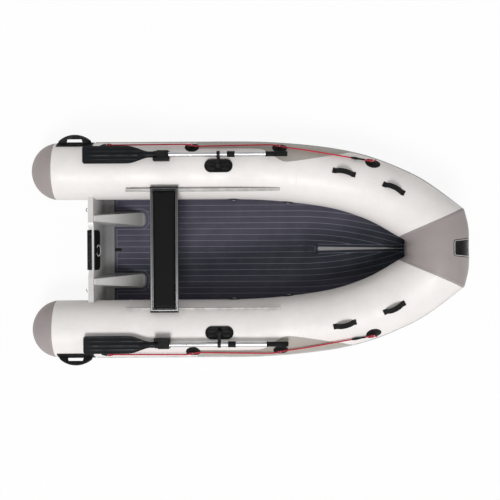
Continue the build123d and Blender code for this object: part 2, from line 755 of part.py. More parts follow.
# ---- small fittings -------------------------------------------------------------------------------
def transom_eye():
    """Eye on the transom's aft face."""
    back = front_face_x(EYE_Z) - TRANSOM_THICK
    ring = Pos(back - EYE_R - EYE_WIRE_R + 2, EYE_Y, EYE_Z) * Torus(EYE_R, EYE_WIRE_R)
    plate = Pos(back - 2.5, EYE_Y, EYE_Z) * Rot(0, -TRANSOM_RAKE, 0) * Box(5, 44, 30)
    return (ring + plate) - transom_solid


def drain_plug():
    middle = (DRAIN_X[0] + DRAIN_X[1]) / 2
    top = DECK_Z + MAT_THICK
    body = extrude(Pos(middle, 0, top) * SlotOverall(DRAIN_X[1] - DRAIN_X[0], DRAIN_WIDTH),
                   amount=DRAIN_HEIGHT)
    return fillet(body.faces().sort_by(Axis.Z)[-1].edges(), 3)


def nose_badge():
    """Blank plate bent over the front of the nose."""
    middle = (BADGE_LIFT[0] + BADGE_LIFT[1]) / 2
    half = (BADGE_LIFT[1] - BADGE_LIFT[0]) / 2
    section = nose_sections()[2]
    wedge = extrude(section.strip(middle, half, -30, 40), amount=BADGE_HALF, both=True)
    return only((wedge & nose(SEAT_GAP + BADGE_THICK)) - nose_cutter)


def bow_eye():
    """Towing eye on the stem."""
    keel = [(x, keel_z) for x, keel_z, *_ in HULL_STATIONS]
    for (x0, z0), (x1, z1) in zip(keel, keel[1:]):
        if x0 <= BOW_EYE_X <= x1:
            z = z0 + (z1 - z0) * (BOW_EYE_X - x0) / (x1 - x0)
    ring = Pos(BOW_EYE_X, 0, z - BOW_EYE_R + 8) * Rot(90, 0, 0) * Torus(BOW_EYE_R, 5)
    return only(ring - hull_block)


# ---- nodes ----------------------------------------------------------------------------------------
transom_solid = transom()
mat = deck_mat()
save("hull_shell", hull_shell())
save("transom", transom_solid)
save_pair("knee", knee())
save_pair("tube", port_tube)
save_pair("stern_cone", dome() & block((-BIG, TUBE_AFT_X), (0, BIG), (-BIG, BIG)))
save("bow_nose", bow_nose)
save_pair("rub_strake", strake_side())
save("rub_strake_bow", strake_bow())
save("deck_mat", mat)
save("motor_pad_inner", pad_inner())
save("motor_pad_outer", pad_outer())
save_pair("seat_track", seat_track())
save("bench_board", bench_board())
save("bench_pad", bench_pad())
save_pair("bench_end", bench_end())
save_pair("rowlock_pad", rowlock_pad())
save_pair("oar_shaft", oar_shaft())
save_pair("oar_grip", oar_grip())
save_pair("oar_blade", oar_blade())
save_pair("oar_collar", oar_collar())
save_pair("oar_arm", oar_arm())
save_pair("oar_keeper", oar_keeper())
save_pair("stern_handle", stern_handle())
rope_line = rope_path()
save_pair("lifeline", lifeline(rope_line))
patches = [patch(x, lift, PATCH_R) for x, lift in ROPE_RINGS]
save("lifeline_patches", *patches, *[other_side(piece) for piece in patches])
rings = [rope_ring(rope_line, x, lift) for x, lift in ROPE_RINGS]
save("lifeline_rings", *rings, *[other_side(piece) for piece in rings])
ties = [patch(x, TIE_DOWN_LIFT, TIE_DOWN_R) for x in TIE_DOWN_X]
save("tie_down_patches", *ties, *[other_side(piece) for piece in ties])
tie_rings = [tie_down_ring(x) for x in TIE_DOWN_X]
save("tie_down_rings", *tie_rings, *[other_side(piece) for piece in tie_rings])
straps = [grab_strap(x, lift) for x, lift in STRAP_PLACES]
save("grab_straps", *straps, *[other_side(piece) for piece in straps])
eye = transom_eye()
save("transom_eyes", eye, other_side(eye))
save("drain_plug", drain_plug())
save("nose_badge", nose_badge())
save("bow_eye", bow_eye())
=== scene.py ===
import json
import math
import bmesh
import bpy
import numpy as np
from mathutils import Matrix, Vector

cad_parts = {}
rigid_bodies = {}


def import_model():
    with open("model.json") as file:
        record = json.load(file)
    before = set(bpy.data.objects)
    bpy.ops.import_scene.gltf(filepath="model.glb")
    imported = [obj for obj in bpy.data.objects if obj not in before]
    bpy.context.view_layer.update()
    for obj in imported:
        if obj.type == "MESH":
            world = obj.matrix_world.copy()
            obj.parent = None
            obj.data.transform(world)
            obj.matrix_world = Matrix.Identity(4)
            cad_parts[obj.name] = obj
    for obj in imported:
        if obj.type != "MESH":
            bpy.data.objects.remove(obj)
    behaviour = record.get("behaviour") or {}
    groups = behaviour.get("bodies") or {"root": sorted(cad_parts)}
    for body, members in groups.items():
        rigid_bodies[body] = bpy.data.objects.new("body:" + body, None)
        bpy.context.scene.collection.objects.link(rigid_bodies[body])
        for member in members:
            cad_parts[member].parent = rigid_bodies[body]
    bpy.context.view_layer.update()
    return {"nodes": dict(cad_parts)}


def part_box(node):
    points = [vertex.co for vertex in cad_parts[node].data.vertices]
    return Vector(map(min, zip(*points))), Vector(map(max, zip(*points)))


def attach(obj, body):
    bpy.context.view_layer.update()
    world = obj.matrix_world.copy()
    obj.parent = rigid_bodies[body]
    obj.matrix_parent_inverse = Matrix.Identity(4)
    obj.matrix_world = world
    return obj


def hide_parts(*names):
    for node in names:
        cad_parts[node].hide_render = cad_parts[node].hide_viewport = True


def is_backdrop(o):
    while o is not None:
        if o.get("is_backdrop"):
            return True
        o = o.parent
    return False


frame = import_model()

# Rigid-bottomed inflatable tender. Metres. The frame's origin is on the waterline amidships, +X to the
# bow, +Y to port, +Z up. Port pieces are worked out, and mirrored in the middle plane for starboard.

# ---- sizes ----------------------------------------------------------------------------------------
SEAT_GAP = 0.0003

# collar: a straight run between the stern dome and the bow, which is two arcs up to the nose's seam
TUBE_R = 0.214
TUBE_Y = 0.5947
TUBE_Z = 0.220
TUBE_AFT_X = -1.486
DOME_X = -1.445
DOME_LENGTH = 0.205
SHOULDER_R = 0.200
BOW_X = -0.150
BOW_R_1 = 4.1868
BOW_TURN_1 = math.radians(9.799)
BOW_R_2 = 1.4775
BOW_ROLL = math.radians(23.89)
SEAM_Y = 0.183
SEAM_HEADING = math.radians(23.3)
SEAM_R = TUBE_R + 0.011
NOSE_AHEAD = 0.035
NOSE_ABOVE = 0.027
NOSE_SWELL = 0.004
# sections between a seam and the nose's middle: share of the seam's half width, share of the rise
NOSE_PART = 0.51
NOSE_PART_RISE = 0.78
LOFT_STEPS = 9

# strake: its aft end, thickness, and degrees that it spans to each side of outboard
STRAKE_X = -1.165
STRAKE_THICK = 0.007
STRAKE_LIFT = 9

# deck, mat, knees and transom
DECK_Z = 0.040
HULL_AFT_X = -1.260
MAT_THICK = 0.006
MAT_AFT_X = -1.058
MAT_FRONT_BACK = 0.160
KNEE_Y = 0.2375
KNEE_WIDTH = 0.106
KNEE_FRONT_X = -0.817
KNEE_CORNER = 0.035
MAT_MARGIN = 0.006
WEDGE_X = 0.520
WEDGE_WIDTH = 0.033
TRANSOM_RAKE = math.radians(13)
TRANSOM_THICK = 0.040
TRANSOM_X = -1.177
CUTOUT_Z = 0.290

AHEAD = np.array([1.0, 0.0, 0.0])
TO_PORT = np.array([0.0, 1.0, 0.0])
UP = np.array([0.0, 0.0, 1.0])
MIRROR = np.array([1.0, -1.0, 1.0])
OARS = ("oar_port", "oar_starboard")


# ---- meshes ---------------------------------------------------------------------------------------
def full_turn(steps):
    """Angles once round, with the last point on the first."""
    return np.linspace(0, 2 * np.pi, steps)


def quarter_turn(steps):
    """Angles of a quarter circle."""
    return np.linspace(0, np.pi / 2, steps)


ROUND = full_turn(97)


def unit(vectors):
    """The same directions at length 1."""
    return vectors / np.linalg.norm(vectors, axis=-1, keepdims=True)


def lengths(grid, axis):
    """Distance gone along one direction of a grid, averaged over the other."""
    steps = np.linalg.norm(np.diff(grid, axis=axis), axis=-1).mean(axis=1 - axis)
    return np.concatenate([[0.0], np.cumsum(steps)])


def gone(path):
    """Distance gone along a path at each of its points."""
    return lengths(path[:, None], 0)


def respaced(path, count):
    """The same path with `count` points, evenly spaced."""
    so_far = gone(path)
    even = np.linspace(0, so_far[-1], count)
    return np.stack([np.interp(even, so_far, column) for column in path.T], -1)


def vertices(mesh):
    """A mesh's points as rows."""
    points = np.zeros(len(mesh.vertices) * 3, np.float32)
    mesh.vertices.foreach_get("co", points)
    return points.reshape(-1, 3).astype(float)


def grid_faces(rows, columns):
    """Quads between neighbouring points of a grid, as rows of four indices."""
    corner = np.arange(rows - 1)[:, None] * columns + np.arange(columns - 1)
    return np.stack([corner, corner + 1, corner + columns + 1, corner + columns], -1).reshape(-1, 4)


def linked(name, data):
    """A new object in the scene."""
    made = bpy.data.objects.new(name, data)
    bpy.context.scene.collection.objects.link(made)
    return made


def added(mesh, name, body, sharp, replaces):
    """The piece that shows a mesh: smooth up to an angle, riding on its body, in the node's stead."""
    mesh.shade_smooth()
    mesh.set_sharp_from_angle(angle=math.radians(sharp))
    piece = linked(name, mesh)
    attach(piece, body)
    if replaces:
        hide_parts(*replaces)
    return piece


def build(name, body, slot, grids, materials, sharp=38, replaces=(), weld=2e-5):
    """One piece from grids of points, each with its material's number. Its UV map is in metres along
    the grids' two directions. Points that meet are merged, which closes rounds and poles."""
    mesh = bpy.data.meshes.new(name)
    points, faces, places, numbers, start = [], [], [], [], 0
    for grid, number in grids:
        rows, columns = grid.shape[:2]
        made = grid_faces(rows, columns)
        across, along = lengths(grid, 1), lengths(grid, 0)
        uv = np.stack(np.broadcast_arrays(across[None, :], along[:, None]), -1).reshape(-1, 2)
        points.append(grid.reshape(-1, 3))
        faces.append(made + start)
        places.append(uv[made.ravel()])
        numbers.append(np.full(len(made), number))
        start += rows * columns
    mesh.from_pydata(np.concatenate(points), [], np.concatenate(faces).tolist())
    mesh.uv_layers.new(name="UVMap").data.foreach_set("uv", np.concatenate(places).ravel())
    mesh.polygons.foreach_set("material_index", np.concatenate(numbers).astype(np.int32))
    for material in materials:
        mesh.materials.append(material)
    work = bmesh.new()
    work.from_mesh(mesh)
    bmesh.ops.remove_doubles(work, verts=work.verts, dist=weld)
    bmesh.ops.dissolve_degenerate(work, edges=work.edges, dist=1e-6)
    bmesh.ops.recalc_face_normals(work, faces=work.faces)
    work.to_mesh(mesh)
    work.free()
    return added(mesh, name, body, sharp, replaces)


def pair(name, bodies, slot, grids, materials, replaces=None, **more):
    """The port piece and its mirror image. `bodies` is one body, or the port and starboard bodies."""
    bodies = (bodies, bodies) if isinstance(bodies, str) else bodies
    made = []
    for side, body, way in (("port", bodies[0], 1), ("starboard", bodies[1], MIRROR)):
        stands_for = [f"{node}_{side}" for node in (replaces or ())]
        flipped = [(grid * way, number) for grid, number in grids]
        made.append(build(f"{name}_{side}", body, slot, flipped, materials, replaces=stands_for, **more))
    return made


def both(grids):
    """The port grids and their mirror images."""
    return list(grids) + [(grid * MIRROR, number) for grid, number in grids]


def plate(top, bottom):
    """Closed sheet between two grids: each row goes across the top and back along the bottom, and the
    first and last rows fold shut."""
    rings = np.concatenate([top, bottom[:, ::-1], top[:, :1]], axis=1)
    fold = np.concatenate([bottom, bottom[:, ::-1], bottom[:, :1]], axis=1)
    return np.concatenate([fold[:1], rings, fold[-1:]])


def closed(rings):
    """Rows of closed rings, with each end drawn to its middle."""
    ends = [np.broadcast_to(ring[:-1].mean(axis=0), ring.shape) for ring in (rings[0], rings[-1])]
    return np.concatenate([ends[0][None], rings, ends[1][None]])


def swung(angle, first, second):
    """Ways at angles from the first of two ways towards the second."""
    angle = np.asarray(angle, float)[..., None]
    return np.cos(angle) * first + np.sin(angle) * second


def turned(profile, origin, axis, start, angles=ROUND):
    """Profile of (radius, height) pairs turned about an axis; `start` is the way of the first angle."""
    axis, start = unit(np.array(axis, float)), unit(np.array(start, float))
    spoke = swung(angles, start, np.cross(axis, start))
    profile = np.array(profile, float)
    return np.array(origin) + profile[:, None, :1] * spoke + profile[:, None, 1:] * axis


def frames(path, up):
    """The ways to the side and, towards `up`, above at each point of a path."""
    way = unit(np.gradient(path, axis=0))
    side = unit(np.cross(way, up))
    return side[:, None], np.cross(side, way)[:, None]


def carried(path, profile, up, size=1.0):
    """Closed profile carried along a path: its first value goes sideways, its second towards `up`."""
    side, above = frames(path, up)
    profile = np.asarray(profile)[None] * np.reshape(size, (-1, 1, 1))
    return path[:, None] + side * profile[..., :1] + above * profile[..., 1:]


def oval(width, height, power=2.0, steps=25):
    """Closed superellipse: cosine and sine raised to 2/power, so a higher power is squarer."""
    angle = full_turn(steps)
    wave = np.stack([np.cos(angle), np.sin(angle)], -1)
    return np.sign(wave) * np.abs(wave) ** (2 / power) * np.array([width, height]) / 2


def rounded(length, width, radius, steps=7):
    """Closed rectangle in a plane with quarter circles at its corners."""
    rings = []
    for quarter, (x, y) in enumerate(((1, 1), (-1, 1), (-1, -1), (1, -1))):
        angle = quarter_turn(steps) + quarter * np.pi / 2
        rings.append(np.stack([x * (length / 2 - radius) + radius * np.cos(angle),
                               y * (width / 2 - radius) + radius * np.sin(angle)], -1))
    outline = np.concatenate(rings)
    return np.concatenate([outline, outline[:1]])


def inward(outline):
    """Unit normals of a closed plane outline that runs anticlockwise, pointing in."""
    ahead = np.roll(outline[:-1], -1, axis=0) - np.roll(outline[:-1], 1, axis=0)
    normal = unit(np.stack([-ahead[:, 1], ahead[:, 0]], -1))
    return np.concatenate([normal, normal[:1]])


def moulded(outline, low, high, edge, steps=4, foot=0.0):
    """Rows of a raised form: the outline stands from low to high, and its upper edge is a quarter
    circle of radius `edge`; `foot` widens it at the bottom."""
    turns = quarter_turn(steps)
    inset = np.concatenate([[-foot, 0.0], edge * (1 - np.cos(turns))])
    height = np.concatenate([[low, low + foot], high - edge + edge * np.sin(turns)])
    return stacked(outline, inset, height)


def stacked(outline, inset, height):
    """Closed form from copies of an outline, each drawn in by its inset, at its height."""
    flat = outline[None] + inward(outline)[None] * inset[:, None, None]
    heights = np.broadcast_to(height[:, None, None], flat.shape[:2] + (1,))
    return closed(np.concatenate([flat, heights], axis=-1))


def placed(grid, origin, x_way, z_way):
    """A grid in its own axes, set at a place with its x and z along two ways."""
    z_way = unit(np.array(z_way, float))
    x_way = np.array(x_way, float)
    x_way = unit(x_way - z_way * (x_way @ z_way))
    turn = np.stack([x_way, np.cross(z_way, x_way), z_way])
    return grid @ turn + np.array(origin)


# ---- the collar's form ----------------------------------------------------------------------------
def dome_radius(x):
    """Stern dome: a shoulder arc, tangent to the tube, that runs into a smaller arc round the tip."""
    beyond = SHOULDER_R ** 2 - DOME_LENGTH ** 2 - (SHOULDER_R - TUBE_R) ** 2
    nose = beyond / (2 * (SHOULDER_R - DOME_LENGTH))
    hub = (DOME_X, TUBE_R - SHOULDER_R)
    centre = DOME_X - DOME_LENGTH + nose
    outward = np.array([centre - hub[0], -hub[1]]) / (SHOULDER_R - nose)
    meet = centre + outward[0] * nose
    shoulder = hub[1] + np.sqrt(np.maximum(SHOULDER_R ** 2 - (x - hub[0]) ** 2, 0))
    tip = np.sqrt(np.maximum(nose ** 2 - (x - centre) ** 2, 0))
    return np.where(x >= DOME_X, TUBE_R, np.where(x >= meet, shoulder, tip))


def middle_line(turn):
    """Place, way and radius of the port tube's middle line after it has turned by an angle: two arcs in
    a plane that is rolled upwards about X, with the radius growing along their length."""
    turn = np.asarray(turn, float)
    first, second = np.minimum(turn, BOW_TURN_1), np.maximum(turn, BOW_TURN_1)
    ahead = BOW_R_1 * np.sin(first) + BOW_R_2 * (np.sin(second) - math.sin(BOW_TURN_1))
    inwards = BOW_R_1 * (1 - np.cos(first)) + BOW_R_2 * (math.cos(BOW_TURN_1) - np.cos(second))
    length = BOW_R_1 * first + BOW_R_2 * (second - BOW_TURN_1)
    centre = np.stack([BOW_X + ahead, TUBE_Y - inwards * math.cos(BOW_ROLL),
                       TUBE_Z + inwards * math.sin(BOW_ROLL)], -1)
    way = np.stack([np.cos(turn), -np.sin(turn) * math.cos(BOW_ROLL), np.sin(turn) * math.sin(BOW_ROLL)], -1)
    return centre, way, TUBE_R + (SEAM_R - TUBE_R) * length / SEAM_LENGTH


SEAM_TURN = math.acos(math.cos(BOW_TURN_1) - ((TUBE_Y - SEAM_Y) / math.cos(BOW_ROLL)
                      - BOW_R_1 * (1 - math.cos(BOW_TURN_1))) / BOW_R_2)
SEAM_LENGTH = BOW_R_1 * BOW_TURN_1 + BOW_R_2 * (SEAM_TURN - BOW_TURN_1)
SEAM_CENTRE, SEAM_WAY, _ = middle_line(SEAM_TURN)
SEAM_X = SEAM_CENTRE[0]
LOFT_STEP = SEAM_LENGTH / LOFT_STEPS


def collar_at(x):
    """Place, way and radius of the middle line at x: the dome, the straight run or the bow."""
    x = np.asarray(x, float)
    ahead = np.maximum(x - BOW_X, 0)
    bend = BOW_R_1 * math.sin(BOW_TURN_1)
    late = np.clip(math.sin(BOW_TURN_1) + (ahead - bend) / BOW_R_2, 0, 0.98)
    turn = np.where(ahead <= bend, np.arcsin(np.minimum(ahead / BOW_R_1, 0.98)), np.arcsin(late))
    centre, way, radius = middle_line(turn)
    centre[..., 0] = np.where(x < BOW_X, x, centre[..., 0])
    return centre, way, np.where(x < DOME_X, dome_radius(x), radius)


def ring(centre, way, radius, cut, lift, extra=0.0):
    """Points round a section that is cut by a plane: an ellipse where the cut is askew. `lift` is the
    angle above outboard."""
    out = unit(np.cross(UP, cut))
    toward = swung(lift, out, np.cross(cut, out))
    askew = np.sum(way * toward, axis=-1, keepdims=True)
    return centre + toward * (radius + np.asarray(extra)[..., None]) / np.sqrt(1 - askew ** 2)


def skin(x, lift, extra=0.0):
    """Points of the port tube at x of the middle line, `lift` above outboard and `extra` outside."""
    x, lift, extra = np.broadcast_arrays(x, lift, extra)
    centre, way, radius = collar_at(x)
    out = unit(np.cross(UP, way))
    return centre + swung(lift, out, np.cross(way, out)) * (radius + extra)[..., None]


def seat(x, lift_degrees):
    """A place on the skin, the way along the tube and the way out of it."""
    lift = math.radians(lift_degrees)
    here = skin(x, lift)
    ahead = skin(x + 0.001, lift) - skin(x - 0.001, lift)
    return here, unit(ahead), unit(skin(x, lift, 0.01) - here)


def around(x, lift_degrees, along, across, extra):
    """Points on the skin near a place, by metres along the tube and round it."""
    _, way, radius = collar_at(x)
    return skin(x + along * way[0], math.radians(lift_degrees) + across / radius, extra)


def through(rings, middles, shares, paired=False):
    """Natural cubic curves through the same point of each ring, spaced by their middles' distances:
    every curve at every share, or, where they are paired, each point's curve at its own share."""
    places = gone(np.array(middles))
    gaps = np.diff(places)
    count = len(places)
    flat = rings.reshape(count, -1)
    slopes = np.diff(flat, axis=0) / gaps[:, None]
    system = np.eye(count)
    inner = np.arange(1, count - 1)
    system[inner, inner - 1] = gaps[:-1]
    system[inner, inner] = 2 * (gaps[:-1] + gaps[1:])
    system[inner, inner + 1] = gaps[1:]
    bends = np.zeros_like(flat)
    bends[1:-1] = 6 * np.diff(slopes, axis=0)
    bends = np.linalg.solve(system, bends).reshape(rings.shape)
    at = np.asarray(shares) * places[-1]
    left = np.clip(np.searchsorted(places, at, side="right") - 1, 0, count - 2)
    deep = (slice(None),) + (None,) * (1 if paired else rings.ndim - 1)
    gap = gaps[left][deep]
    near, far = (places[left + 1] - at)[deep] / gap, (at - places[left])[deep] / gap
    point = np.arange(rings.shape[1]) if paired else slice(None)
    curve = near * rings[left, point] + far * rings[left + 1, point]
    bent = (near ** 3 - near) * bends[left, point] + (far ** 3 - far) * bends[left + 1, point]
    return curve + bent * gap ** 2 / 6


def bow_skin(lifts, extra=0.0, shares=np.linspace(0, 1, 90)):
    """Port bow from the last straight stretch to the seam: curves through square sections and the
    section on the seam's plane."""
    middles = [np.array([BOW_X - back * LOFT_STEP, TUBE_Y, TUBE_Z]) for back in (2, 1)]
    sections = [ring(middle, AHEAD, TUBE_R, AHEAD, lifts, extra) for middle in middles]
    first = BOW_R_1 * BOW_TURN_1
    for length in LOFT_STEP * np.arange(LOFT_STEPS):
        turn = length / BOW_R_1 if length <= first else BOW_TURN_1 + (length - first) / BOW_R_2
        centre, way, radius = middle_line(turn)
        middles.append(centre)
        sections.append(ring(centre, way, radius, way, lifts, extra))
    cut = np.array([math.sin(SEAM_HEADING), -math.cos(SEAM_HEADING), 0])
    middles.append(SEAM_CENTRE)
    sections.append(ring(SEAM_CENTRE, SEAM_WAY, SEAM_R, cut, lifts, extra))
    return through(np.array(sections), middles, shares)


def nose_skin(lifts, extra=0.0, shares=np.linspace(0, 1, 61), paired=False):
    """Nose from the port seam to the starboard one: curves through the seams, the middle and a section
    between each pair."""
    sections, middles = [], []
    for side in (1, NOSE_PART, 0, -NOSE_PART, -1):
        heading = SEAM_HEADING * side
        cut = np.array([math.sin(heading), -math.cos(heading), 0])
        if abs(side) == 1:
            centre, way, radius = SEAM_CENTRE * [1, side, 1], SEAM_WAY * [side, 1, side], SEAM_R
        else:
            rise = NOSE_ABOVE * (NOSE_PART_RISE if side else 1)
            centre = np.array([SEAM_X + NOSE_AHEAD, SEAM_Y * side, SEAM_CENTRE[2] + rise])
            way, radius = cut, SEAM_R + (NOSE_SWELL if side else 0)
        middles.append(centre)
        sections.append(ring(centre, way, radius, cut, lifts, extra))
    return through(np.array(sections), middles, shares, paired)


# ---- shader parts ---------------------------------------------------------------------------------
def feed(tree, socket, value):
    """Links a socket to another, or sets it to a value."""
    if isinstance(value, bpy.types.NodeSocket):
        tree.links.new(value, socket)
    else:
        socket.default_value = value


def put(tree, kind, inputs=None, **settings):
    """Adds a shader node; each input is a value, or a socket to link."""
    node = tree.nodes.new(kind if kind.startswith("NodeGroup") else "ShaderNode" + kind)
    for key, value in settings.items():
        setattr(node, key, value)
    for key, value in (inputs or {}).items():
        feed(tree, node.inputs[key], value)
    return node


def sums(tree, operation, *values):
    """One Math node's value."""
    return put(tree, "Math", dict(enumerate(values)), operation=operation).outputs[0]


def mixed(tree, share, low, high):
    """A colour between two, by a share."""
    return put(tree, "Mix", {0: share, 6: low, 7: high}, data_type="RGBA").outputs[2]


def between(tree, value, low, high, out_low=0.0, out_high=1.0):
    """Smooth ramp of a value from one range to another."""
    return put(tree, "MapRange", {0: value, 1: low, 2: high, 3: out_low, 4: out_high},
               interpolation_type="SMOOTHSTEP").outputs[0]


def group(name, inputs, outputs):
    """Empty node group with named sockets; returns it with its input and output nodes."""
    made = bpy.data.node_groups.new(name, "ShaderNodeTree")
    for label, kind, value in inputs:
        socket = made.interface.new_socket(label, in_out="INPUT", socket_type="NodeSocket" + kind)
        if value is not None:
            socket.default_value = value
    for label, kind in outputs:
        made.interface.new_socket(label, in_out="OUTPUT", socket_type="NodeSocket" + kind)
    return made, put(made, "NodeGroupInput").outputs, put(made, "NodeGroupOutput").inputs


def mottle_group():
    """Soft, cloudy change of a colour, with finer specks in it."""
    made, given, out = group("mottle", [("Colour", "Color", None), ("Vector", "Vector", None),
                                        ("Scale", "Float", 4.0), ("Amount", "Float", 0.1)],
                             [("Colour", "Color"), ("Cloud", "Float")])
    cloud = put(made, "TexNoise", {"Vector": given["Vector"], "Scale": given["Scale"], "Detail": 5.0,
                                   "Roughness": 0.62}).outputs["Fac"]
    darker = put(made, "HueSaturation", {"Color": given["Colour"],
                                         "Value": sums(made, "SUBTRACT", 1.0, given["Amount"])}).outputs[0]
    share = between(made, cloud, 0.35, 0.65)
    made.links.new(mixed(made, share, given["Colour"], darker), out["Colour"])
    made.links.new(share, out["Cloud"])
    return made


def weave_group():
    """Plain weave: the product of two sine waves across the threads, as a height from 0 to 1."""
    made, given, out = group("weave", [("Vector", "Vector", None), ("Threads", "Float", 900.0)],
                             [("Height", "Float")])
    parts = put(made, "SeparateXYZ", {0: given["Vector"]}).outputs
    turn = sums(made, "MULTIPLY", given["Threads"], math.pi)
    waves = [sums(made, "SINE", sums(made, "MULTIPLY", parts[axis], turn)) for axis in (0, 1)]
    made.links.new(sums(made, "MULTIPLY_ADD", sums(made, "MULTIPLY", *waves), 0.5, 0.5), out["Height"])
    return made


def grain_group():
    """Moulded or leathery grain: cells with soft creases between them over fine noise."""
    made, given, out = group("grain", [("Vector", "Vector", None), ("Scale", "Float", 500.0),
                                       ("Crease", "Float", 0.5)], [("Height", "Float")])
    cells = put(made, "TexVoronoi", {"Vector": given["Vector"], "Scale": given["Scale"]},
                feature="SMOOTH_F1").outputs["Distance"]
    noise = put(made, "TexNoise", {"Vector": given["Vector"], "Scale": given["Scale"],
                                   "Detail": 3.0}).outputs["Fac"]
    height = put(made, "Mix", {0: given["Crease"], 2: noise, 3: between(made, cells, 0.1, 0.75, 1.0, 0.0)})
    made.links.new(height.outputs[0], out["Height"])
    return made


def wear_group():
    """Edge wear: convex edges, broken up by noise, take another colour."""
    made, given, out = group("edge_wear", [("Colour", "Color", None), ("Worn", "Color", None),
                                           ("Vector", "Vector", None), ("Amount", "Float", 0.5)],
                             [("Colour", "Color"), ("Mask", "Float")])
    edge = between(made, put(made, "NewGeometry").outputs["Pointiness"], 0.505, 0.56)
    broken = put(made, "TexNoise", {"Vector": given["Vector"], "Scale": 55.0, "Detail": 6.0}).outputs["Fac"]
    mask = sums(made, "MULTIPLY", sums(made, "MULTIPLY", edge, between(made, broken, 0.4, 0.62)),
                given["Amount"])
    made.links.new(mixed(made, mask, given["Colour"], given["Worn"]), out["Colour"])
    made.links.new(mask, out["Mask"])
    return made


def dust_group():
    """Dust that has settled on faces that look up, thicker where cloudy noise is high."""
    made, given, out = group("dust", [("Colour", "Color", None), ("Dust", "Color", None),
                                      ("Vector", "Vector", None), ("Amount", "Float", 0.2)],
                             [("Colour", "Color"), ("Mask", "Float")])
    facing = put(made, "SeparateXYZ", {0: put(made, "NewGeometry").outputs["Normal"]}).outputs[2]
    cloud = put(made, "TexNoise", {"Vector": given["Vector"], "Scale": 9.0, "Detail": 7.0,
                                   "Roughness": 0.7}).outputs["Fac"]
    mask = sums(made, "MULTIPLY", between(made, facing, 0.3, 1.0), between(made, cloud, 0.38, 0.72))
    mask = sums(made, "MULTIPLY", mask, given["Amount"])
    made.links.new(mixed(made, mask, given["Colour"], given["Dust"]), out["Colour"])
    made.links.new(mask, out["Mask"])
    return made


MOTTLE, WEAVE, GRAIN, WEAR, DUST = mottle_group(), weave_group(), grain_group(), wear_group(), dust_group()
DUST_COLOUR = (0.34, 0.32, 0.29, 1)


def use(tree, made, **inputs):
    """Places a group with its own values."""
    node = put(tree, "Group")
    node.node_tree = made
    for key, value in inputs.items():
        feed(tree, node.inputs[key], value)
    return node.outputs


def dusted(tree, colour, spot, amount):
    """The colour with settled dust."""
    return use(tree, DUST, Colour=colour, Dust=DUST_COLOUR, Vector=spot, Amount=amount)["Colour"]


def streaks(tree, spot, stretch, scale=1.0, detail=4.0):
    """Noise drawn out along one way."""
    stretched = put(tree, "Mapping", {"Vector": spot, "Scale": stretch}).outputs[0]
    return put(tree, "TexNoise", {"Vector": stretched, "Scale": scale, "Detail": detail}).outputs["Fac"]


def grey(value, warm=0.0):
    """A grey in linear light, a little warmer if asked."""
    return (value * (1 + warm), value, value * (1 - warm), 1)


def begin(name, roughness=0.5, **plain):
    """A material with its Principled shader; plain values are set on the shader's own sockets."""
    made = bpy.data.materials.new(name)
    made.use_nodes = True
    tree = made.node_tree
    shader = tree.nodes["Principled BSDF"]
    shader.inputs["Roughness"].default_value = roughness
    for key, value in plain.items():
        shader.inputs[key.replace("_", " ")].default_value = value
    return made, tree, shader


def finish_with(tree, shader, colour, heights=(), roughness=None):
    """Sets the colour, the bumps (height, strength, distance in metres) and the roughness."""
    feed(tree, shader.inputs["Base Color"], colour)
    normal = None
    for height, strength, distance in heights:
        bump = put(tree, "Bump", {"Height": height, "Strength": strength, "Distance": distance})
        if normal is not None:
            tree.links.new(normal, bump.inputs["Normal"])
        normal = bump.outputs[0]
    if normal is not None:
        tree.links.new(normal, shader.inputs["Normal"])
    if roughness is not None:
        tree.links.new(roughness, shader.inputs["Roughness"])


def places(tree, name="Object"):
    """Coordinates in metres: the object's own, or along its UV map."""
    return put(tree, "TexCoord").outputs[name]


def coated_fabric(name, colour, amount=0.05, roughness=0.46):
    """Coated tube fabric: a fine weave shows through the coat, with soft handling marks."""
    made, tree, shader = begin(name, roughness, Specular_IOR_Level=0.38)
    spot = places(tree)
    cloud = use(tree, MOTTLE, Colour=colour, Vector=spot, Scale=3.2, Amount=amount)
    weave = use(tree, WEAVE, Vector=places(tree, "UV"), Threads=620.0)
    ripple = put(tree, "TexNoise", {"Vector": spot, "Scale": 5.5, "Detail": 2.0}).outputs["Fac"]
    shine = between(tree, cloud["Cloud"], 0.0, 1.0, roughness - 0.05, roughness + 0.07)
    bumps = [(ripple, 0.35, 0.006), (weave["Height"], 0.22, 0.0002)]
    finish_with(tree, shader, dusted(tree, cloud["Colour"], spot, 0.07), bumps, shine)
    return made


def moulding(name, colour, worn, roughness=0.5, scale=650.0, crease=0.3, bump=0.25, dust=0.01, shine=0.12):
    """Moulded rubber or plastic: fine grain, dust on top and paler edges."""
    made, tree, shader = begin(name, roughness, Specular_IOR_Level=shine)
    spot = places(tree)
    cloud = use(tree, MOTTLE, Colour=colour, Vector=spot, Scale=14.0, Amount=0.25)
    edges = use(tree, WEAR, Colour=cloud["Colour"], Worn=worn, Vector=spot, Amount=0.55)
    grain = use(tree, GRAIN, Vector=spot, Scale=scale, Crease=crease)
    gloss = between(tree, cloud["Cloud"], 0.0, 1.0, roughness - 0.08, roughness + 0.1)
    coloured = dusted(tree, edges["Colour"], spot, dust)
    finish_with(tree, shader, coloured, [(grain["Height"], bump, 0.0004)], gloss)
    return made


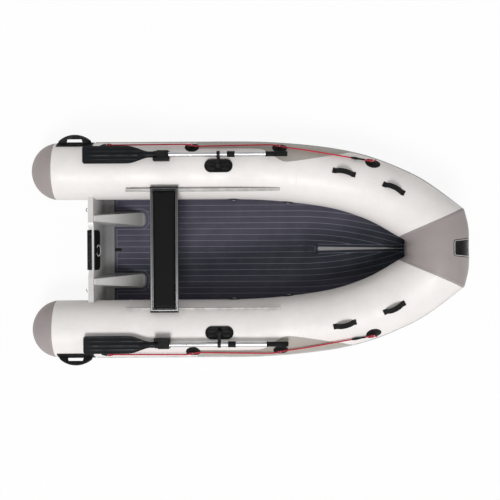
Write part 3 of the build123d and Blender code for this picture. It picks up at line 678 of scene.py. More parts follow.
def gelcoat():
    """Gloss gelcoat: a clear, slightly wavy surface, darker low down towards the deck and paler again below
    the waterline, with faint cloudiness and hairline scuffs."""
    made, tree, shader = begin("gelcoat", 0.34, Coat_Weight=0.2, Coat_Roughness=0.3)
    spot = places(tree)
    height = put(tree, "SeparateXYZ", {0: spot}).outputs[2]
    # Darker low down, between heights of 0.28 m and 0.03 m, and paler again below the waterline.
    paler_by_height = sums(tree, "MAXIMUM", between(tree, height, 0.03, 0.28), between(tree, height, 0.0, -0.04))
    shade = mixed(tree, paler_by_height, grey(0.205, 0.01), grey(0.60, 0.012))
    cloud = use(tree, MOTTLE, Colour=shade, Vector=spot, Scale=5.0, Amount=0.07)
    wave = put(tree, "TexNoise", {"Vector": spot, "Scale": 60.0, "Detail": 1.0}).outputs["Fac"]
    shine = between(tree, streaks(tree, spot, (6, 160, 160), 3.0), 0.45, 0.75, 0.24, 0.46)
    finish_with(tree, shader, dusted(tree, cloud["Colour"], spot, 0.1), [(wave, 0.12, 0.001)], shine)
    return made


def deck_foam(name, colour, painted_light_colour, dust=0.03):
    """Closed-cell foam: matt, finely brushed along the deck. Painted light: it is mixed towards a lighter
    colour to port, on a line that slants outwards to the bow, and a little along the starboard tube."""
    made, tree, shader = begin(name, 0.8, Specular_IOR_Level=0.15)
    spot = places(tree)
    side = put(tree, "SeparateXYZ", {0: spot}).outputs
    # Painted light: the mat is mixed towards a lighter colour to port and, more weakly, along the starboard
    # tube.
    painted_light_to_port = between(tree, sums(tree, "MULTIPLY_ADD", side[0], -0.17, side[1]), -0.07, 0.18)
    painted_light_to_starboard = between(tree, side[1], -0.15, -0.31, 0.0, 0.7)
    shade = mixed(tree, sums(tree, "MAXIMUM", painted_light_to_port, painted_light_to_starboard), colour, painted_light_colour)
    cloud = use(tree, MOTTLE, Colour=shade, Vector=spot, Scale=7.0, Amount=0.09)
    cells = use(tree, GRAIN, Vector=spot, Scale=900.0, Crease=0.4)
    bumps = [(streaks(tree, spot, (40, 900, 900), detail=3.0), 0.3, 0.0006), (cells["Height"], 0.3, 0.0005)]
    finish_with(tree, shader, dusted(tree, cloud["Colour"], spot, dust), bumps)
    return made


def webbing():
    """Woven webbing: ribs across the strap and a close weave, with a painted highlight that colours the
    raised threads lighter.
    """
    made, tree, shader = begin("webbing", 0.82, Specular_IOR_Level=0.1, Sheen_Weight=0.05)
    flat = places(tree, "UV")
    weave = use(tree, WEAVE, Vector=flat, Threads=420.0)
    cloud = use(tree, MOTTLE, Colour=grey(0.009), Vector=places(tree), Scale=40.0, Amount=0.35)
    # Painted highlight: the raised threads of the weave are coloured lighter.
    painted_highlight = mixed(tree, weave["Height"], cloud["Colour"], grey(0.02))
    finish_with(tree, shader, painted_highlight, [(weave["Height"], 0.8, 0.0012)])
    return made


def rope_yarn(name, colour, pale):
    """Braided yarn: short diagonal strands, fuzzy, with a painted highlight that mixes the strands towards a
    paler colour.
    """
    made, tree, shader = begin(name, 0.78, Specular_IOR_Level=0.25, Sheen_Weight=0.3)
    flat = places(tree, "UV")
    slanted = put(tree, "Mapping", {"Vector": flat, "Rotation": (0, 0, math.radians(32))}).outputs[0]
    fibre = put(tree, "TexWave", {"Vector": slanted, "Scale": 420.0, "Distortion": 1.5, "Detail": 2.0})
    cloud = use(tree, MOTTLE, Colour=colour, Vector=places(tree), Scale=60.0, Amount=0.4)
    # Painted highlight: the strand pattern mixes the colour towards the pale one.
    painted_highlight = mixed(tree, sums(tree, "MULTIPLY", fibre.outputs["Fac"], 0.35), cloud["Colour"], pale)
    finish_with(tree, shader, painted_highlight, [(fibre.outputs["Fac"], 0.5, 0.0006)])
    return made


def metal(name, colour, roughness, stretch):
    """Metal with fine scratches along one way and a few dull spots."""
    made, tree, shader = begin(name, roughness, Metallic=1.0)
    spot = places(tree)
    lines = streaks(tree, spot, stretch)
    cloud = use(tree, MOTTLE, Colour=colour, Vector=spot, Scale=12.0, Amount=0.1)
    shine = between(tree, lines, 0.3, 0.7, roughness - 0.08, roughness + 0.12)
    finish_with(tree, shader, cloud["Colour"], [(lines, 0.12, 0.0004)], shine)
    return made


def upholstery():
    """Coated upholstery with a fine leather grain."""
    made, tree, shader = begin("upholstery", 0.5, Specular_IOR_Level=0.1)
    spot = places(tree)
    grain = use(tree, GRAIN, Vector=spot, Scale=420.0, Crease=0.75)
    cloud = use(tree, MOTTLE, Colour=grey(0.0045), Vector=spot, Scale=9.0, Amount=0.3)
    shine = between(tree, grain["Height"], 0.2, 0.8, 0.58, 0.42)
    coloured = dusted(tree, cloud["Colour"], spot, 0.006)
    finish_with(tree, shader, coloured, [(grain["Height"], 0.45, 0.0006)], shine)
    return made


WHITE_FABRIC = coated_fabric("white_fabric", (0.82, 0.785, 0.765, 1))
GREY_FABRIC = coated_fabric("grey_fabric", (0.335, 0.295, 0.29, 1), 0.08, 0.5)
PANEL_FABRIC = coated_fabric("panel_fabric", (0.39, 0.36, 0.32, 1), 0.08, 0.5)
# A thin dark band of painted shade, standing in for the shadow of the nose's lapped edge on the tube.
SEAM_PAINTED_SHADE = coated_fabric("seam_painted_shade", grey(0.20, 0.04), 0.1, 0.55)
STRAKE_RUBBER = moulding("strake_rubber", grey(0.52, 0.02), grey(0.6), 0.55, dust=0.1, shine=0.4)
TRACK_RUBBER = moulding("track_rubber", grey(0.56, 0.03), grey(0.66), 0.5, dust=0.04, shine=0.4)
BLACK_RUBBER = moulding("black_rubber", grey(0.007), grey(0.03), 0.56)
LOOP_GREY = moulding("loop_grey", grey(0.30), grey(0.4), 0.4, dust=0.0, shine=0.4)
BLACK_PLASTIC = moulding("black_plastic", (0.008, 0.009, 0.011, 1), grey(0.04), 0.42, 900.0, 0.2, 0.14)
GRIP_RUBBER = moulding("grip_rubber", grey(0.011), grey(0.04), 0.72, 500.0, 0.6, 0.4)
PLATE_BLACK = moulding("plate_black", grey(0.006), grey(0.03), 0.22, 1200.0, 0.1, 0.05, 0.05)
PLATE_LINE = moulding("plate_line", grey(0.62), grey(0.8), 0.35, 1200.0, 0.1, 0.05, 0.05)
GELCOAT = gelcoat()
# The second colour of each foam is painted light, mixed in to port and along the starboard tube.
FOAM_DARK = deck_foam("foam_dark", (0.018, 0.0205, 0.029, 1), (0.066, 0.062, 0.088, 1))
FOAM_PALE = deck_foam("foam_pale", (0.085, 0.092, 0.11, 1), (0.175, 0.17, 0.21, 1))
WEBBING = webbing()
# Its second colour is a painted highlight on the strands.
ROPE_RED = rope_yarn("rope_red", (0.50, 0.012, 0.035, 1), (0.70, 0.06, 0.09, 1))
STEEL = metal("steel", grey(0.62), 0.2, (90, 90, 90))
ALUMINIUM = metal("aluminium", (0.66, 0.66, 0.67, 1), 0.38, (12, 700, 700))
BOARD_METAL = metal("board_metal", (0.20, 0.20, 0.205, 1), 0.42, (700, 12, 700))
UPHOLSTERY = upholstery()


# ---- collar pieces --------------------------------------------------------------------------------
GIRTH_SEAMS = (-0.905, 0.365)
SEAM_WIDTH = 0.030
SEAM_THICK = 0.0009
CONE_LAP = (TUBE_AFT_X + 0.004, 0.026, 0.0011)
LAP = 0.020
LAP_SUNK = -0.0004


def tube_skin(lifts, extra=0.0, start=TUBE_AFT_X):
    """Port tube from `start` to the seam: the dome's shoulder, the straight run and the bow."""
    shoulder = np.linspace(start, DOME_X, 9)[:-1] if start < DOME_X else np.empty(0)
    straight = np.linspace(max(start, DOME_X), BOW_X - 2 * LOFT_STEP, 16)[:-1]
    run = np.concatenate([shoulder, straight])
    return np.concatenate([skin(run[:, None], lifts[None], extra), bow_skin(lifts, extra)])


def girth_seam(x, width=SEAM_WIDTH, thick=SEAM_THICK):
    """Tape round the tube: a flat closed outline, x and height, carried round the section."""
    x_share = np.array([-0.5, -0.42, 0.42, 0.5, 0.5, -0.5, -0.5])
    height = np.array([0.2, 1, 1, 0.2, -0.5, -0.5, 0.2])
    return skin(x + x_share[None] * width, ROUND[:, None], height[None] * thick)


def tubes():
    """The two tubes, with two taped seams round each."""
    pair("tube_cover", "hull", "tube_fabric", [(closed(tube_skin(ROUND)), 0)], [WHITE_FABRIC], ["tube"])
    for number, x in enumerate(GIRTH_SEAMS):
        pair(f"girth_seam_{number}", "hull", "tube_fabric", [(girth_seam(x), 0)], [WHITE_FABRIC])


def stern_cones():
    """Turned dome behind the joint: its rows crowd towards the tip, where the outline is steepest."""
    tip = DOME_X - DOME_LENGTH
    x = tip + (TUBE_AFT_X - tip) * (1 - np.cos(quarter_turn(26)))
    grids = [(closed(skin(x[:, None], ROUND[None])), 0), (girth_seam(*CONE_LAP), 0)]
    pair("cone_cover", "hull", "grey_fabric", grids, [GREY_FABRIC], ["stern_cone"])


def bow_nose():
    """The nose, with the edge of its fabric lapped over the tubes' ends and a thin dark band of painted shade
    just past that edge.
    """
    back = LAP * np.array([1, 0.96, 0.9, 0.5, 0])
    lap = seam_band(back, (0.0002, 0.0010, 0.0012, 0.0012, 0.0012))
    # Painted shade: a thin dark band just past the lap's edge stands in for its shadow.
    edge = seam_band(back[:2] + 0.0015, (0.0004, 0.0004))
    build("nose_cover", "hull", "grey_fabric", [(closed(nose_skin(ROUND)), 0)] + both([(lap, 0), (edge, 1)]),
          [GREY_FABRIC, SEAM_PAINTED_SHADE], replaces=["bow_nose"])


def lap_rows(back, heights):
    """Rows round the tube's end, each a distance behind the seam."""
    rows = []
    for distance, height in zip(back, heights):
        seam, behind = bow_skin(ROUND, height, np.array([1.0, 0.985]))
        rows.append(seam + unit(behind - seam) * distance)
    return np.stack(rows)


def seam_band(back, heights):
    """Closed band round the tube's end, from rows at distances behind the seam and a sunk underside."""
    top, bottom = lap_rows(back, heights), lap_rows(back, (LAP_SUNK,) * len(back))
    return np.concatenate([top, bottom[::-1], top[:1]]).swapaxes(0, 1)


def strake_height(share):
    """Moulded strip: rounded shoulders and three soft ribs; share runs from 0 to 1 across it."""
    shoulder = np.clip(np.minimum(share, 1 - share) / 0.1, 0, 1)
    ribs = 0.86 + 0.14 * np.cos(6 * np.pi * (share - 0.5))
    return STRAKE_THICK * np.sqrt(shoulder * (2 - shoulder)) * ribs


def rub_strakes():
    """Rubbing strips along the tubes' outer sides and round the nose."""
    share = np.linspace(0, 1, 37)
    lifts = np.radians(STRAKE_LIFT) * (2 * share - 1)
    top, bottom = strake_height(share), -SEAT_GAP * np.ones_like(share)
    side = plate(tube_skin(lifts, top, STRAKE_X), tube_skin(lifts, bottom, STRAKE_X))
    pair("side_strake", "hull", "strake_rubber", [(side, 0)], [STRAKE_RUBBER], ["rub_strake"])
    bow = plate(nose_skin(lifts, top), nose_skin(lifts, bottom))
    build("bow_strake", "hull", "strake_rubber", [(bow, 0)], [STRAKE_RUBBER], replaces=["rub_strake_bow"])


# side panel: x of the middle line and degrees of lift of its upper edge
PANEL_EDGE = ((-0.405, 44.4), (0.068, 44.2), (0.108, 49.0), (0.171, 62), (0.223, 70.9), (0.260, 73.5),
              (0.363, 68), (0.504, 55.7), (0.610, 43), (0.670, 31.5), (0.706, 10))
PANEL_THICK = 0.0011
PANEL_FOOT_LIFT = 6
PANEL_CORNER = 0.022


def side_panels():
    """Contrast panel on the tube's outer side, from the strake up to its shaped edge."""
    x = np.linspace(PANEL_EDGE[0][0], PANEL_EDGE[-1][0], 161)
    known_x, known_lift = np.array(PANEL_EDGE).T
    blur = np.linspace(-PANEL_CORNER, PANEL_CORNER, 9)
    upper = np.interp(x[:, None] + blur, known_x, known_lift).mean(axis=1)
    share = np.concatenate([[0], np.linspace(0.004, 0.996, 24), [1]])
    lifts = np.radians(PANEL_FOOT_LIFT + (upper[:, None] - PANEL_FOOT_LIFT) * share)
    rim = np.where((share == 0) | (share == 1), 0.15, 1.0) * PANEL_THICK
    panel = plate(skin(x[:, None], lifts, rim[None]), skin(x[:, None], lifts, -SEAT_GAP))
    pair("side_panel", "hull", "grey_fabric", [(panel, 0)], [PANEL_FABRIC])


# ---- hull, transom and knees ----------------------------------------------------------------------
# stations: x, keel z, chine inboard of the tube's middle line, chine z, deck's middle z, deck's edge z
STATIONS = np.array((
    (HULL_AFT_X, -0.150, 0.107, -0.020, DECK_Z, DECK_Z),
    (BOW_X, -0.150, 0.107, -0.020, DECK_Z, DECK_Z),
    (SEAM_X - 0.805, -0.146, 0.109, -0.006, DECK_Z, DECK_Z),
    (SEAM_X - 0.568, -0.133, 0.116, 0.014, 0.051, 0.068),
    (SEAM_X - 0.368, -0.110, 0.122, 0.046, 0.075, 0.122),
    (SEAM_X - 0.218, -0.066, 0.127, 0.084, 0.106, 0.182),
    (SEAM_X - 0.108, -0.004, 0.128, 0.120, 0.148, 0.232),
    (SEAM_X - 0.018, 0.086, 0.112, 0.160, 0.205, 0.262),
    (SEAM_X + 0.072, 0.198, 0.080, 0.206, 0.262, 0.280)))
RAIL_DROP = 0.010
DECK_UNDER = 0.012
DECK_LEAST = 0.013
SIDE_IN, SIDE_UP = 0.020, 0.012
TRANSOM_FOOT_X = -1.06


def front_face_x(z):
    """X of the transom's front face at a height."""
    return TRANSOM_X - (z - CUTOUT_Z) * math.tan(TRANSOM_RAKE)


def back_face_x(z):
    """X of its aft face."""
    return front_face_x(z) - TRANSOM_THICK


def station(x):
    """The hull's sizes at x, by curves that don't overshoot: cubic pieces whose slope at a station is
    the harmonic mean of the slopes beside it."""
    at, values = STATIONS[:, 0], STATIONS[:, 1:]
    gaps = np.diff(at)[:, None]
    slope = np.diff(values, axis=0) / gaps
    product = slope[:-1] * slope[1:]
    inner = np.where(product > 0, 2 * product / np.where(product > 0, slope[:-1] + slope[1:], 1), 0)
    bends = np.concatenate([slope[:1], inner, slope[-1:]])
    x = np.asarray(x, float)
    left = np.clip(np.searchsorted(at, x, side="right") - 1, 0, len(at) - 2)
    gap = gaps[left]
    t = ((x - at[left])[..., None]) / gap
    start, end = values[left], values[left + 1]
    found = start * (1 + 2 * t) * (1 - t) ** 2 + end * t ** 2 * (3 - 2 * t)
    found += gap * t * (1 - t) * (bends[left] * (1 - t) - bends[left + 1] * t)
    return np.moveaxis(found, -1, 0)


def deck_half(x, z):
    """Half width of the deck: to the inner side of the tube at that height."""
    centre, way, radius = collar_at(x)
    flat = np.hypot(way[..., 0], way[..., 1])
    half = np.sqrt(np.maximum(radius ** 2 - (centre[..., 2] - z) ** 2, 0)) * flat / way[..., 0]
    return np.maximum(centre[..., 1] - half, DECK_LEAST)


def deck_height(x, y):
    """The deck's height: straight from its middle to its edge."""
    *_, middle, edge = station(x)
    return middle + (edge - middle) * np.abs(y) / (deck_half(x, edge) + DECK_UNDER)


def hull_rings(x):
    """Closed section at each x: the bottom with its spray rails, the chine, up inside the tube, and the
    deck. The rails are small triangles that fade towards the bow."""
    keel, chine_in, chine_z, middle, edge = station(x)
    centre, _, radius = collar_at(x)
    share = np.array([0, 0.06, 0.2, 0.34, 0.375, 0.38, 0.5, 0.64, 0.675, 0.68, 0.8, 0.93, 0.985, 1.0])
    drop = np.array([0.004, 0, 0, 0, 1, 0, 0, 0, 1, 0, 0, 0, 0.5, 0.4]) * RAIL_DROP
    drop = drop[None] * np.clip((SEAM_X - 0.15 - x) / 0.5, 0.12, 1)[:, None]
    y = (centre[:, 1] - chine_in)[:, None] * share
    z = keel[:, None] + (chine_z - keel)[:, None] * share - drop
    side = np.stack([centre[:, 1] - SIDE_IN, centre[:, 2] - radius + SIDE_UP], -1)
    deck = np.linspace(1, 0, 9)
    deck_y = (deck_half(x, edge) + DECK_UNDER)[:, None] * deck
    deck_z = middle[:, None] + (edge - middle)[:, None] * deck
    half_y = np.concatenate([y, side[:, :1], deck_y], axis=1)
    half_z = np.concatenate([z, side[:, 1:], deck_z], axis=1)
    port = np.stack([np.broadcast_to(x[:, None], half_y.shape), half_y, half_z], -1)
    return np.concatenate([port, (port * MIRROR)[:, ::-1][:, 1:]], axis=1)


def hull():
    """The decked hull, with its aft end cut off at the transom's front face."""
    straight = np.linspace(TRANSOM_FOOT_X, BOW_X, 12)[:-1]
    rings = hull_rings(np.concatenate([straight, np.linspace(BOW_X, STATIONS[-1, 0], 70)]))
    aft = rings[:1].copy()
    aft[..., 0] = front_face_x(aft[..., 2])
    build("hull_moulding", "hull", "gelcoat", [(closed(np.concatenate([aft, rings])), 0)], [GELCOAT],
          sharp=24, replaces=["hull_shell"])


def softened(node, material, width, body="hull", angle=32, segments=3):
    """Copy of a CAD solid with its doubles merged, its flats joined and its edges rounded."""
    mesh = frame["nodes"][node].data.copy()
    mesh.name = node + "_soft"
    work = bmesh.new()
    work.from_mesh(mesh)
    bmesh.ops.remove_doubles(work, verts=work.verts, dist=2e-5)
    bmesh.ops.dissolve_limit(work, angle_limit=math.radians(1.2), verts=work.verts, edges=work.edges)
    bmesh.ops.recalc_face_normals(work, faces=work.faces)
    work.to_mesh(mesh)
    work.free()
    mesh.materials.clear()
    mesh.materials.append(material)
    bevel = added(mesh, node + "_soft", body, angle, [node]).modifiers.new("Edges", "BEVEL")
    bevel.width, bevel.segments, bevel.limit_method = width, segments, "ANGLE"
    bevel.angle_limit = math.radians(angle)
    bevel.harden_normals = True


def mouldings():
    """Transom, knees and the fittings whose solids only need softer edges."""
    softened("transom", GELCOAT, 0.006)
    for side in ("port", "starboard"):
        softened(f"knee_{side}", GELCOAT, 0.009, segments=4)
        softened(f"oar_arm_{side}", BLACK_PLASTIC, 0.0025, f"oar_{side}")
        softened(f"oar_keeper_{side}", BLACK_RUBBER, 0.003)
        softened(f"stern_handle_{side}", BLACK_RUBBER, 0.003)


# ---- deck mat -------------------------------------------------------------------------------------
PLANK_FIRST = 0.0225
PLANK_PITCH = 0.0455
GROOVE = 0.005
GROOVE_DEEP = 0.0016
BORDER = 0.017
MAT_FRONT_X = SEAM_X - MAT_FRONT_BACK
CURL_X = 0.383
CURL = 0.215
KNEE_CENTRE_X = KNEE_FRONT_X - KNEE_WIDTH / 2
KNEE_HOLE = KNEE_WIDTH / 2 + MAT_MARGIN
# the mat's edge short of the tube, its strips sunk in the sheet, and the joints between borders
MAT_SHORT = 0.0005
STRIP_SUNK = 0.0006
MITRE = 0.0003
SHEET_FOOT = 0.0002
# planks thinner than this are left out, and they end where they taper to this
SLIVER = 0.002
SLIVER_END = 0.004


def wedge_half(x):
    """Half width of the bare wedge, which narrows to the bow; none behind its square end."""
    share = (x - WEDGE_X) / (MAT_FRONT_X - WEDGE_X)
    return np.where(x < WEDGE_X, 0.0, WEDGE_WIDTH / 2 + (0.003 - WEDGE_WIDTH / 2) * share)


def plank_line(offset, x):
    """A groove's line: straight, then curling in towards the bow with the square of the distance."""
    return offset - CURL * np.maximum(x - CURL_X, 0) ** 2


def laid(x, y, height):
    """Points above the deck."""
    return np.stack([x, y, deck_height(x, y) + height], -1)


def mat_edge(x):
    """Half width of the mat: just short of the tube."""
    return deck_half(x, station(x)[4]) - MAT_SHORT


def between_lines(x, low, high, share):
    """Grids of x and y from one line along the deck to another."""
    low, high = (np.broadcast_to(line, x.shape)[:, None] for line in (low, high))
    y = low + (high - low) * share
    return np.broadcast_to(x[:, None], y.shape), y


def strip(x, low, high, height=MAT_THICK, edge=0.0012):
    """Raised strip between two lines on the deck, with eased edges."""
    share = np.array([0, 0.0, 0.08, 0.5, 0.92, 1.0, 1.0])
    ease = np.array([GROOVE_DEEP, edge * 0.4, 0, 0, 0, edge * 0.4, GROOVE_DEEP])
    x, y = between_lines(x, low, high, share)
    return plate(laid(x, y, height - ease), laid(x, y, height - GROOVE_DEEP - STRIP_SUNK))


def knee_start(y, reach):
    """X where a plank starts in front of the knee, whose end has round corners."""
    corner = KNEE_CORNER + reach - KNEE_WIDTH / 2
    beside = np.maximum(np.abs(y - KNEE_Y) - (reach - corner), 0)
    return KNEE_FRONT_X - KNEE_CORNER + np.sqrt(np.maximum(corner ** 2 - beside ** 2, 0))


def before_knee(y, reach, front, high, low):
    """Sheet from the knee's round end forward to a line across the deck."""
    start = knee_start(y, reach)[None]
    x = start + (front - start) * np.linspace(0, 1, 4)[:, None]
    y = np.broadcast_to(y, x.shape)
    return plate(laid(x, y, high), laid(x, y, low))


def planks():
    """Dark planks between the grooves of the port half, each clipped to the border round the knee, the
    wedge's border and the tube."""
    reach = KNEE_HOLE + BORDER + GROOVE
    front = KNEE_CENTRE_X + reach + 0.01
    x = np.linspace(MAT_AFT_X + BORDER + GROOVE, MAT_FRONT_X, 260)
    by_wedge = np.where(x > WEDGE_X - 0.03, wedge_half(x) + BORDER + GROOVE, 0)
    made = []
    offsets = PLANK_FIRST + PLANK_PITCH * np.arange(11)
    for low, high in zip(offsets, offsets[1:]):
        cuts = [low + GROOVE / 2, KNEE_Y - reach, KNEE_Y + reach, high - GROOVE / 2]
        cuts = [cut for cut in cuts if cuts[0] <= cut <= cuts[-1]]
        for start, end in zip(cuts, cuts[1:]):
            low_y = np.maximum(plank_line(start, x), by_wedge)
            high_y = np.minimum(plank_line(end, x), mat_edge(x))
            kept = high_y - low_y > SLIVER_END
            if end - start < SLIVER or not kept.any():
                continue
            if abs((start + end) / 2 - KNEE_Y) < reach:
                y = start + (end - start) * np.linspace(0, 1, 12)
                made.append(before_knee(y, reach, front, MAT_THICK, MAT_THICK - GROOVE_DEEP))
                kept &= x >= front
            made.append(strip(x[kept], low_y[kept], high_y[kept]))
    return made


def knee_border():
    """Border round the knee: forward along its inner side, round its two corners and back."""
    hub_x, hub_y = KNEE_FRONT_X - KNEE_CORNER, KNEE_WIDTH / 2 - KNEE_CORNER
    straight = np.linspace(MAT_AFT_X, hub_x, 8)[:-1]
    turn, square = quarter_turn(12), np.full(len(straight), np.pi / 2)
    x = np.concatenate([straight, np.full(2 * len(turn), hub_x), straight[::-1]])
    spin = np.concatenate([-square, turn - np.pi / 2, turn, square])
    y = KNEE_Y + hub_y * np.repeat([-1, 1], len(straight) + len(turn))
    radius = KNEE_CORNER + MAT_MARGIN + BORDER * np.array([0, 0.08, 0.92, 1.0])
    x = x[:, None] + np.cos(spin)[:, None] * radius
    y = y[:, None] + np.sin(spin)[:, None] * radius
    ease = np.array([0.0006, 0, 0, 0.0006])
    return plate(laid(x, y, MAT_THICK - ease), laid(x, y, 2 * SHEET_FOOT))


def base_sheets():
    """Pale lower sheet of the port half, in four parts round the knee."""
    high = MAT_THICK - GROOVE_DEEP
    front = KNEE_CENTRE_X + KNEE_HOLE + 0.012
    ahead, beside = np.linspace(front, MAT_FRONT_X, 200), np.linspace(MAT_AFT_X, front, 24)
    made = []
    for x, inner, outer in ((ahead, wedge_half(ahead), mat_edge(ahead)), (beside, 0, KNEE_Y - KNEE_HOLE),
                            (beside, KNEE_Y + KNEE_HOLE, mat_edge(beside))):
        x, y = between_lines(x, inner, outer, np.linspace(0, 1, 12))
        made.append(plate(laid(x, y, high), laid(x, y, SHEET_FOOT)))
    y = KNEE_Y + KNEE_HOLE * np.linspace(-1, 1, 33)
    return made + [before_knee(y, KNEE_HOLE, front, high, SHEET_FOOT)]


def deck_mat():
    """Foam mat of dark planks and borders on a pale sheet that shows in the grooves."""
    aft = np.array([MAT_AFT_X, MAT_AFT_X + BORDER])
    along = np.linspace(MAT_AFT_X + BORDER + GROOVE, WEDGE_X - BORDER - GROOVE, 8)
    cross = np.array([WEDGE_X - BORDER, WEDGE_X])
    edge = np.linspace(WEDGE_X, MAT_FRONT_X, 40)
    dark = planks() + [
        knee_border(),
        strip(aft, 0, KNEE_Y - KNEE_HOLE - BORDER - MITRE),
        strip(aft, KNEE_Y + KNEE_HOLE + BORDER + MITRE, mat_edge(aft)),
        strip(along, 0, PLANK_FIRST - GROOVE / 2),
        strip(cross, 0, WEDGE_WIDTH / 2 + BORDER),
        strip(edge, wedge_half(edge), wedge_half(edge) + BORDER)]
    grids = both([(sheet, 0) for sheet in dark] + [(sheet, 1) for sheet in base_sheets()])
    build("foam_mat", "hull", "deck_foam", grids, [FOAM_DARK, FOAM_PALE], replaces=["deck_mat"], weld=1e-6)


# ---- motor pads and drain -------------------------------------------------------------------------
PAD_HALF = 0.150
PAD_THICK = 0.008
PAD_FOOT_Z = 0.095
PAD_FRONT_FOOT_Z = 0.190
PAD_LIP = 0.025
PAD_RIBS = 11
PAD_CORNERS = (0.030, 0.012)
PAD_EDGE = 0.002
PAD_DROP = 0.003
PAD_HOOK = 0.005
PAD_SMOOTH = 0.012
RIB_DEEP = 0.0016
DRAIN_X = (-1.056, -1.000)
DRAIN_WIDTH = 0.022
DRAIN_HEIGHT = 0.012
DRAIN_BAR = (0.036, 0.008)


def eased(corners, radius, steps=5):
    """Closed outline with its corners rounded: each is a parabola between the two points that lie
    `radius` from it along its sides."""
    corners = np.array(corners, float)
    share = np.linspace(0, 1, steps)[:, None]
    parts = []
    for before, corner, after in zip(np.roll(corners, 1, 0), corners, np.roll(corners, -1, 0)):
        start = corner + unit(before - corner) * min(radius, np.linalg.norm(before - corner) / 2.01)
        end = corner + unit(after - corner) * min(radius, np.linalg.norm(after - corner) / 2.01)
        parts.append(start * (1 - share) ** 2 + 2 * corner * share * (1 - share) + end * share ** 2)
    outline = np.concatenate(parts)
    return np.concatenate([outline, outline[:1]])


def bar(outline, low, high, edge=0.002, steps=4):
    """Anticlockwise outline carried from low to high, with both its ends rounded."""
    turns = quarter_turn(steps)
    inset = np.concatenate([edge * (1 - np.sin(turns)), edge * (1 - np.cos(turns))])
    height = np.concatenate([low + edge * (1 - np.cos(turns)), high - edge * (1 - np.sin(turns))])
    return stacked(outline, inset, height)


def across(outline, half, edge=0.002):
    """Outline in x and z, anticlockwise, carried across the boat."""
    return placed(bar(outline, -half, half, edge), (0, 0, 0), AHEAD, -TO_PORT)


def rib_face(start, end, count):
    """Points of a ribbed face between two corners: it dips to its left between the ribs."""
    start, end = np.array(start), np.array(end)
    way = unit(end - start)
    left = np.array([-way[1], way[0]])
    share = np.linspace(0, 1, 8 * count + 1)
    wave = np.clip(0.5 - 1.6 * np.cos(2 * np.pi * count * share), 0, 1)
    dip = RIB_DEEP * wave * (share > 0.001) * (share < 0.999)
    return [tuple(start + (end - start) * along + left * low) for along, low in zip(share, dip)]


def narrowed(grid, foot, top):
    """The same bar with its lower and upper corners round: its ends draw in along two circles."""
    inset = 0.0
    for radius, height in zip(PAD_CORNERS, (grid[..., 2] - foot, top - grid[..., 2])):
        short = np.clip(radius - height, 0, radius)
        inset = inset + radius - np.sqrt(radius ** 2 - short ** 2)
    return grid * np.stack([np.ones_like(inset), 1 - inset / PAD_HALF, np.ones_like(inset)], -1)


def motor_pads():
    """Ribbed pads under the motor's clamp: one on the transom's front face, one hooked over its top."""
    foot, top = PAD_FRONT_FOOT_Z, CUTOUT_Z - PAD_DROP
    ribs = rib_face((front_face_x(foot) + PAD_THICK, foot + PAD_EDGE),
                    (front_face_x(top) + PAD_THICK, top - PAD_EDGE), PAD_RIBS // 2)
    inner = [(front_face_x(foot), foot), *ribs, (front_face_x(top), top)]
    front = narrowed(across(eased(inner, 0.001, 2), PAD_HALF, 0.004), foot, top)
    build("motor_pad_front", "hull", "black_rubber", [(front, 0)],
          [BLACK_RUBBER], replaces=["motor_pad_inner"], sharp=50)
    foot, top, lip = PAD_FOOT_Z, CUTOUT_Z, CUTOUT_Z + PAD_HOOK
    ribs = rib_face((back_face_x(lip) - PAD_THICK, lip - PAD_SMOOTH),
                    (back_face_x(foot) - PAD_THICK, foot + PAD_EDGE), PAD_RIBS)
    hook = back_face_x(top) + PAD_LIP
    outer = [(back_face_x(foot), foot), (back_face_x(top), top), (hook, top), (hook, lip),
             (back_face_x(lip) - PAD_THICK, lip), *ribs]
    back = across(eased(outer, 0.001, 2), PAD_HALF, 0.004)
    build("motor_pad_back", "hull", "black_rubber", [(back, 0)],
          [BLACK_RUBBER], replaces=["motor_pad_outer"], sharp=50)


LOOP_Z = 0.250
LOOP_Y = -0.004
LOOP_HALF = (0.040, 0.016)
LOOP_WIRE = 0.005
LOOP_OUT = 0.012
LOOP_LEAN = 0.004


def pad_loop():
    """Moulded loop that stands out from the front pad, for the motor's safety line."""
    turn = full_turn(49)
    out = front_face_x(LOOP_Z) + PAD_THICK + LOOP_OUT
    path = np.stack([out + LOOP_HALF[1] * np.cos(turn), LOOP_Y + LOOP_HALF[0] * np.sin(turn),
                     LOOP_Z + LOOP_LEAN * np.cos(turn)], -1)
    build("pad_loop", "hull", "black_rubber", [(ring_wire(path, LOOP_WIRE), 0)], [LOOP_GREY])


def ring_wire(path, radius, steps=13):
    """Round wire along a closed path."""
    ahead = np.roll(path[:-1], -1, axis=0) - np.roll(path[:-1], 1, axis=0)
    way = unit(np.concatenate([ahead, ahead[:1]]))
    side = unit(path - path[:-1].mean(axis=0))
    above = unit(np.cross(way, side))
    return path[:, None] + radius * swung(full_turn(steps), side[:, None], above[:, None])


def hoop(centre, x_way, y_way, radius, wire, steps=49):
    """Closed ring of wire about a centre, in the plane of two ways."""
    path = np.array(centre) + radius * swung(full_turn(steps), np.array(x_way), np.array(y_way))
    return ring_wire(path, wire)


def drain():
    """Oval plug: a stepped flange and a finger bar across its top."""
    outline = rounded(DRAIN_X[1] - DRAIN_X[0], DRAIN_WIDTH, DRAIN_WIDTH / 2 - 0.0001, 13)
    centre = (sum(DRAIN_X) / 2, 0, DECK_Z + MAT_THICK)
    body = moulded(outline, 0, DRAIN_HEIGHT * 0.55, 0.002)
    grip = moulded(rounded(*DRAIN_BAR, DRAIN_BAR[1] / 2 - 0.0001, 7), 0.004, DRAIN_HEIGHT, 0.002)
    grids = [(placed(part, centre, (1, 0, 0), UP), 0) for part in (body, grip)]
    build("drain_bung", "hull", "black_rubber", grids, [BLACK_RUBBER], replaces=["drain_plug"])


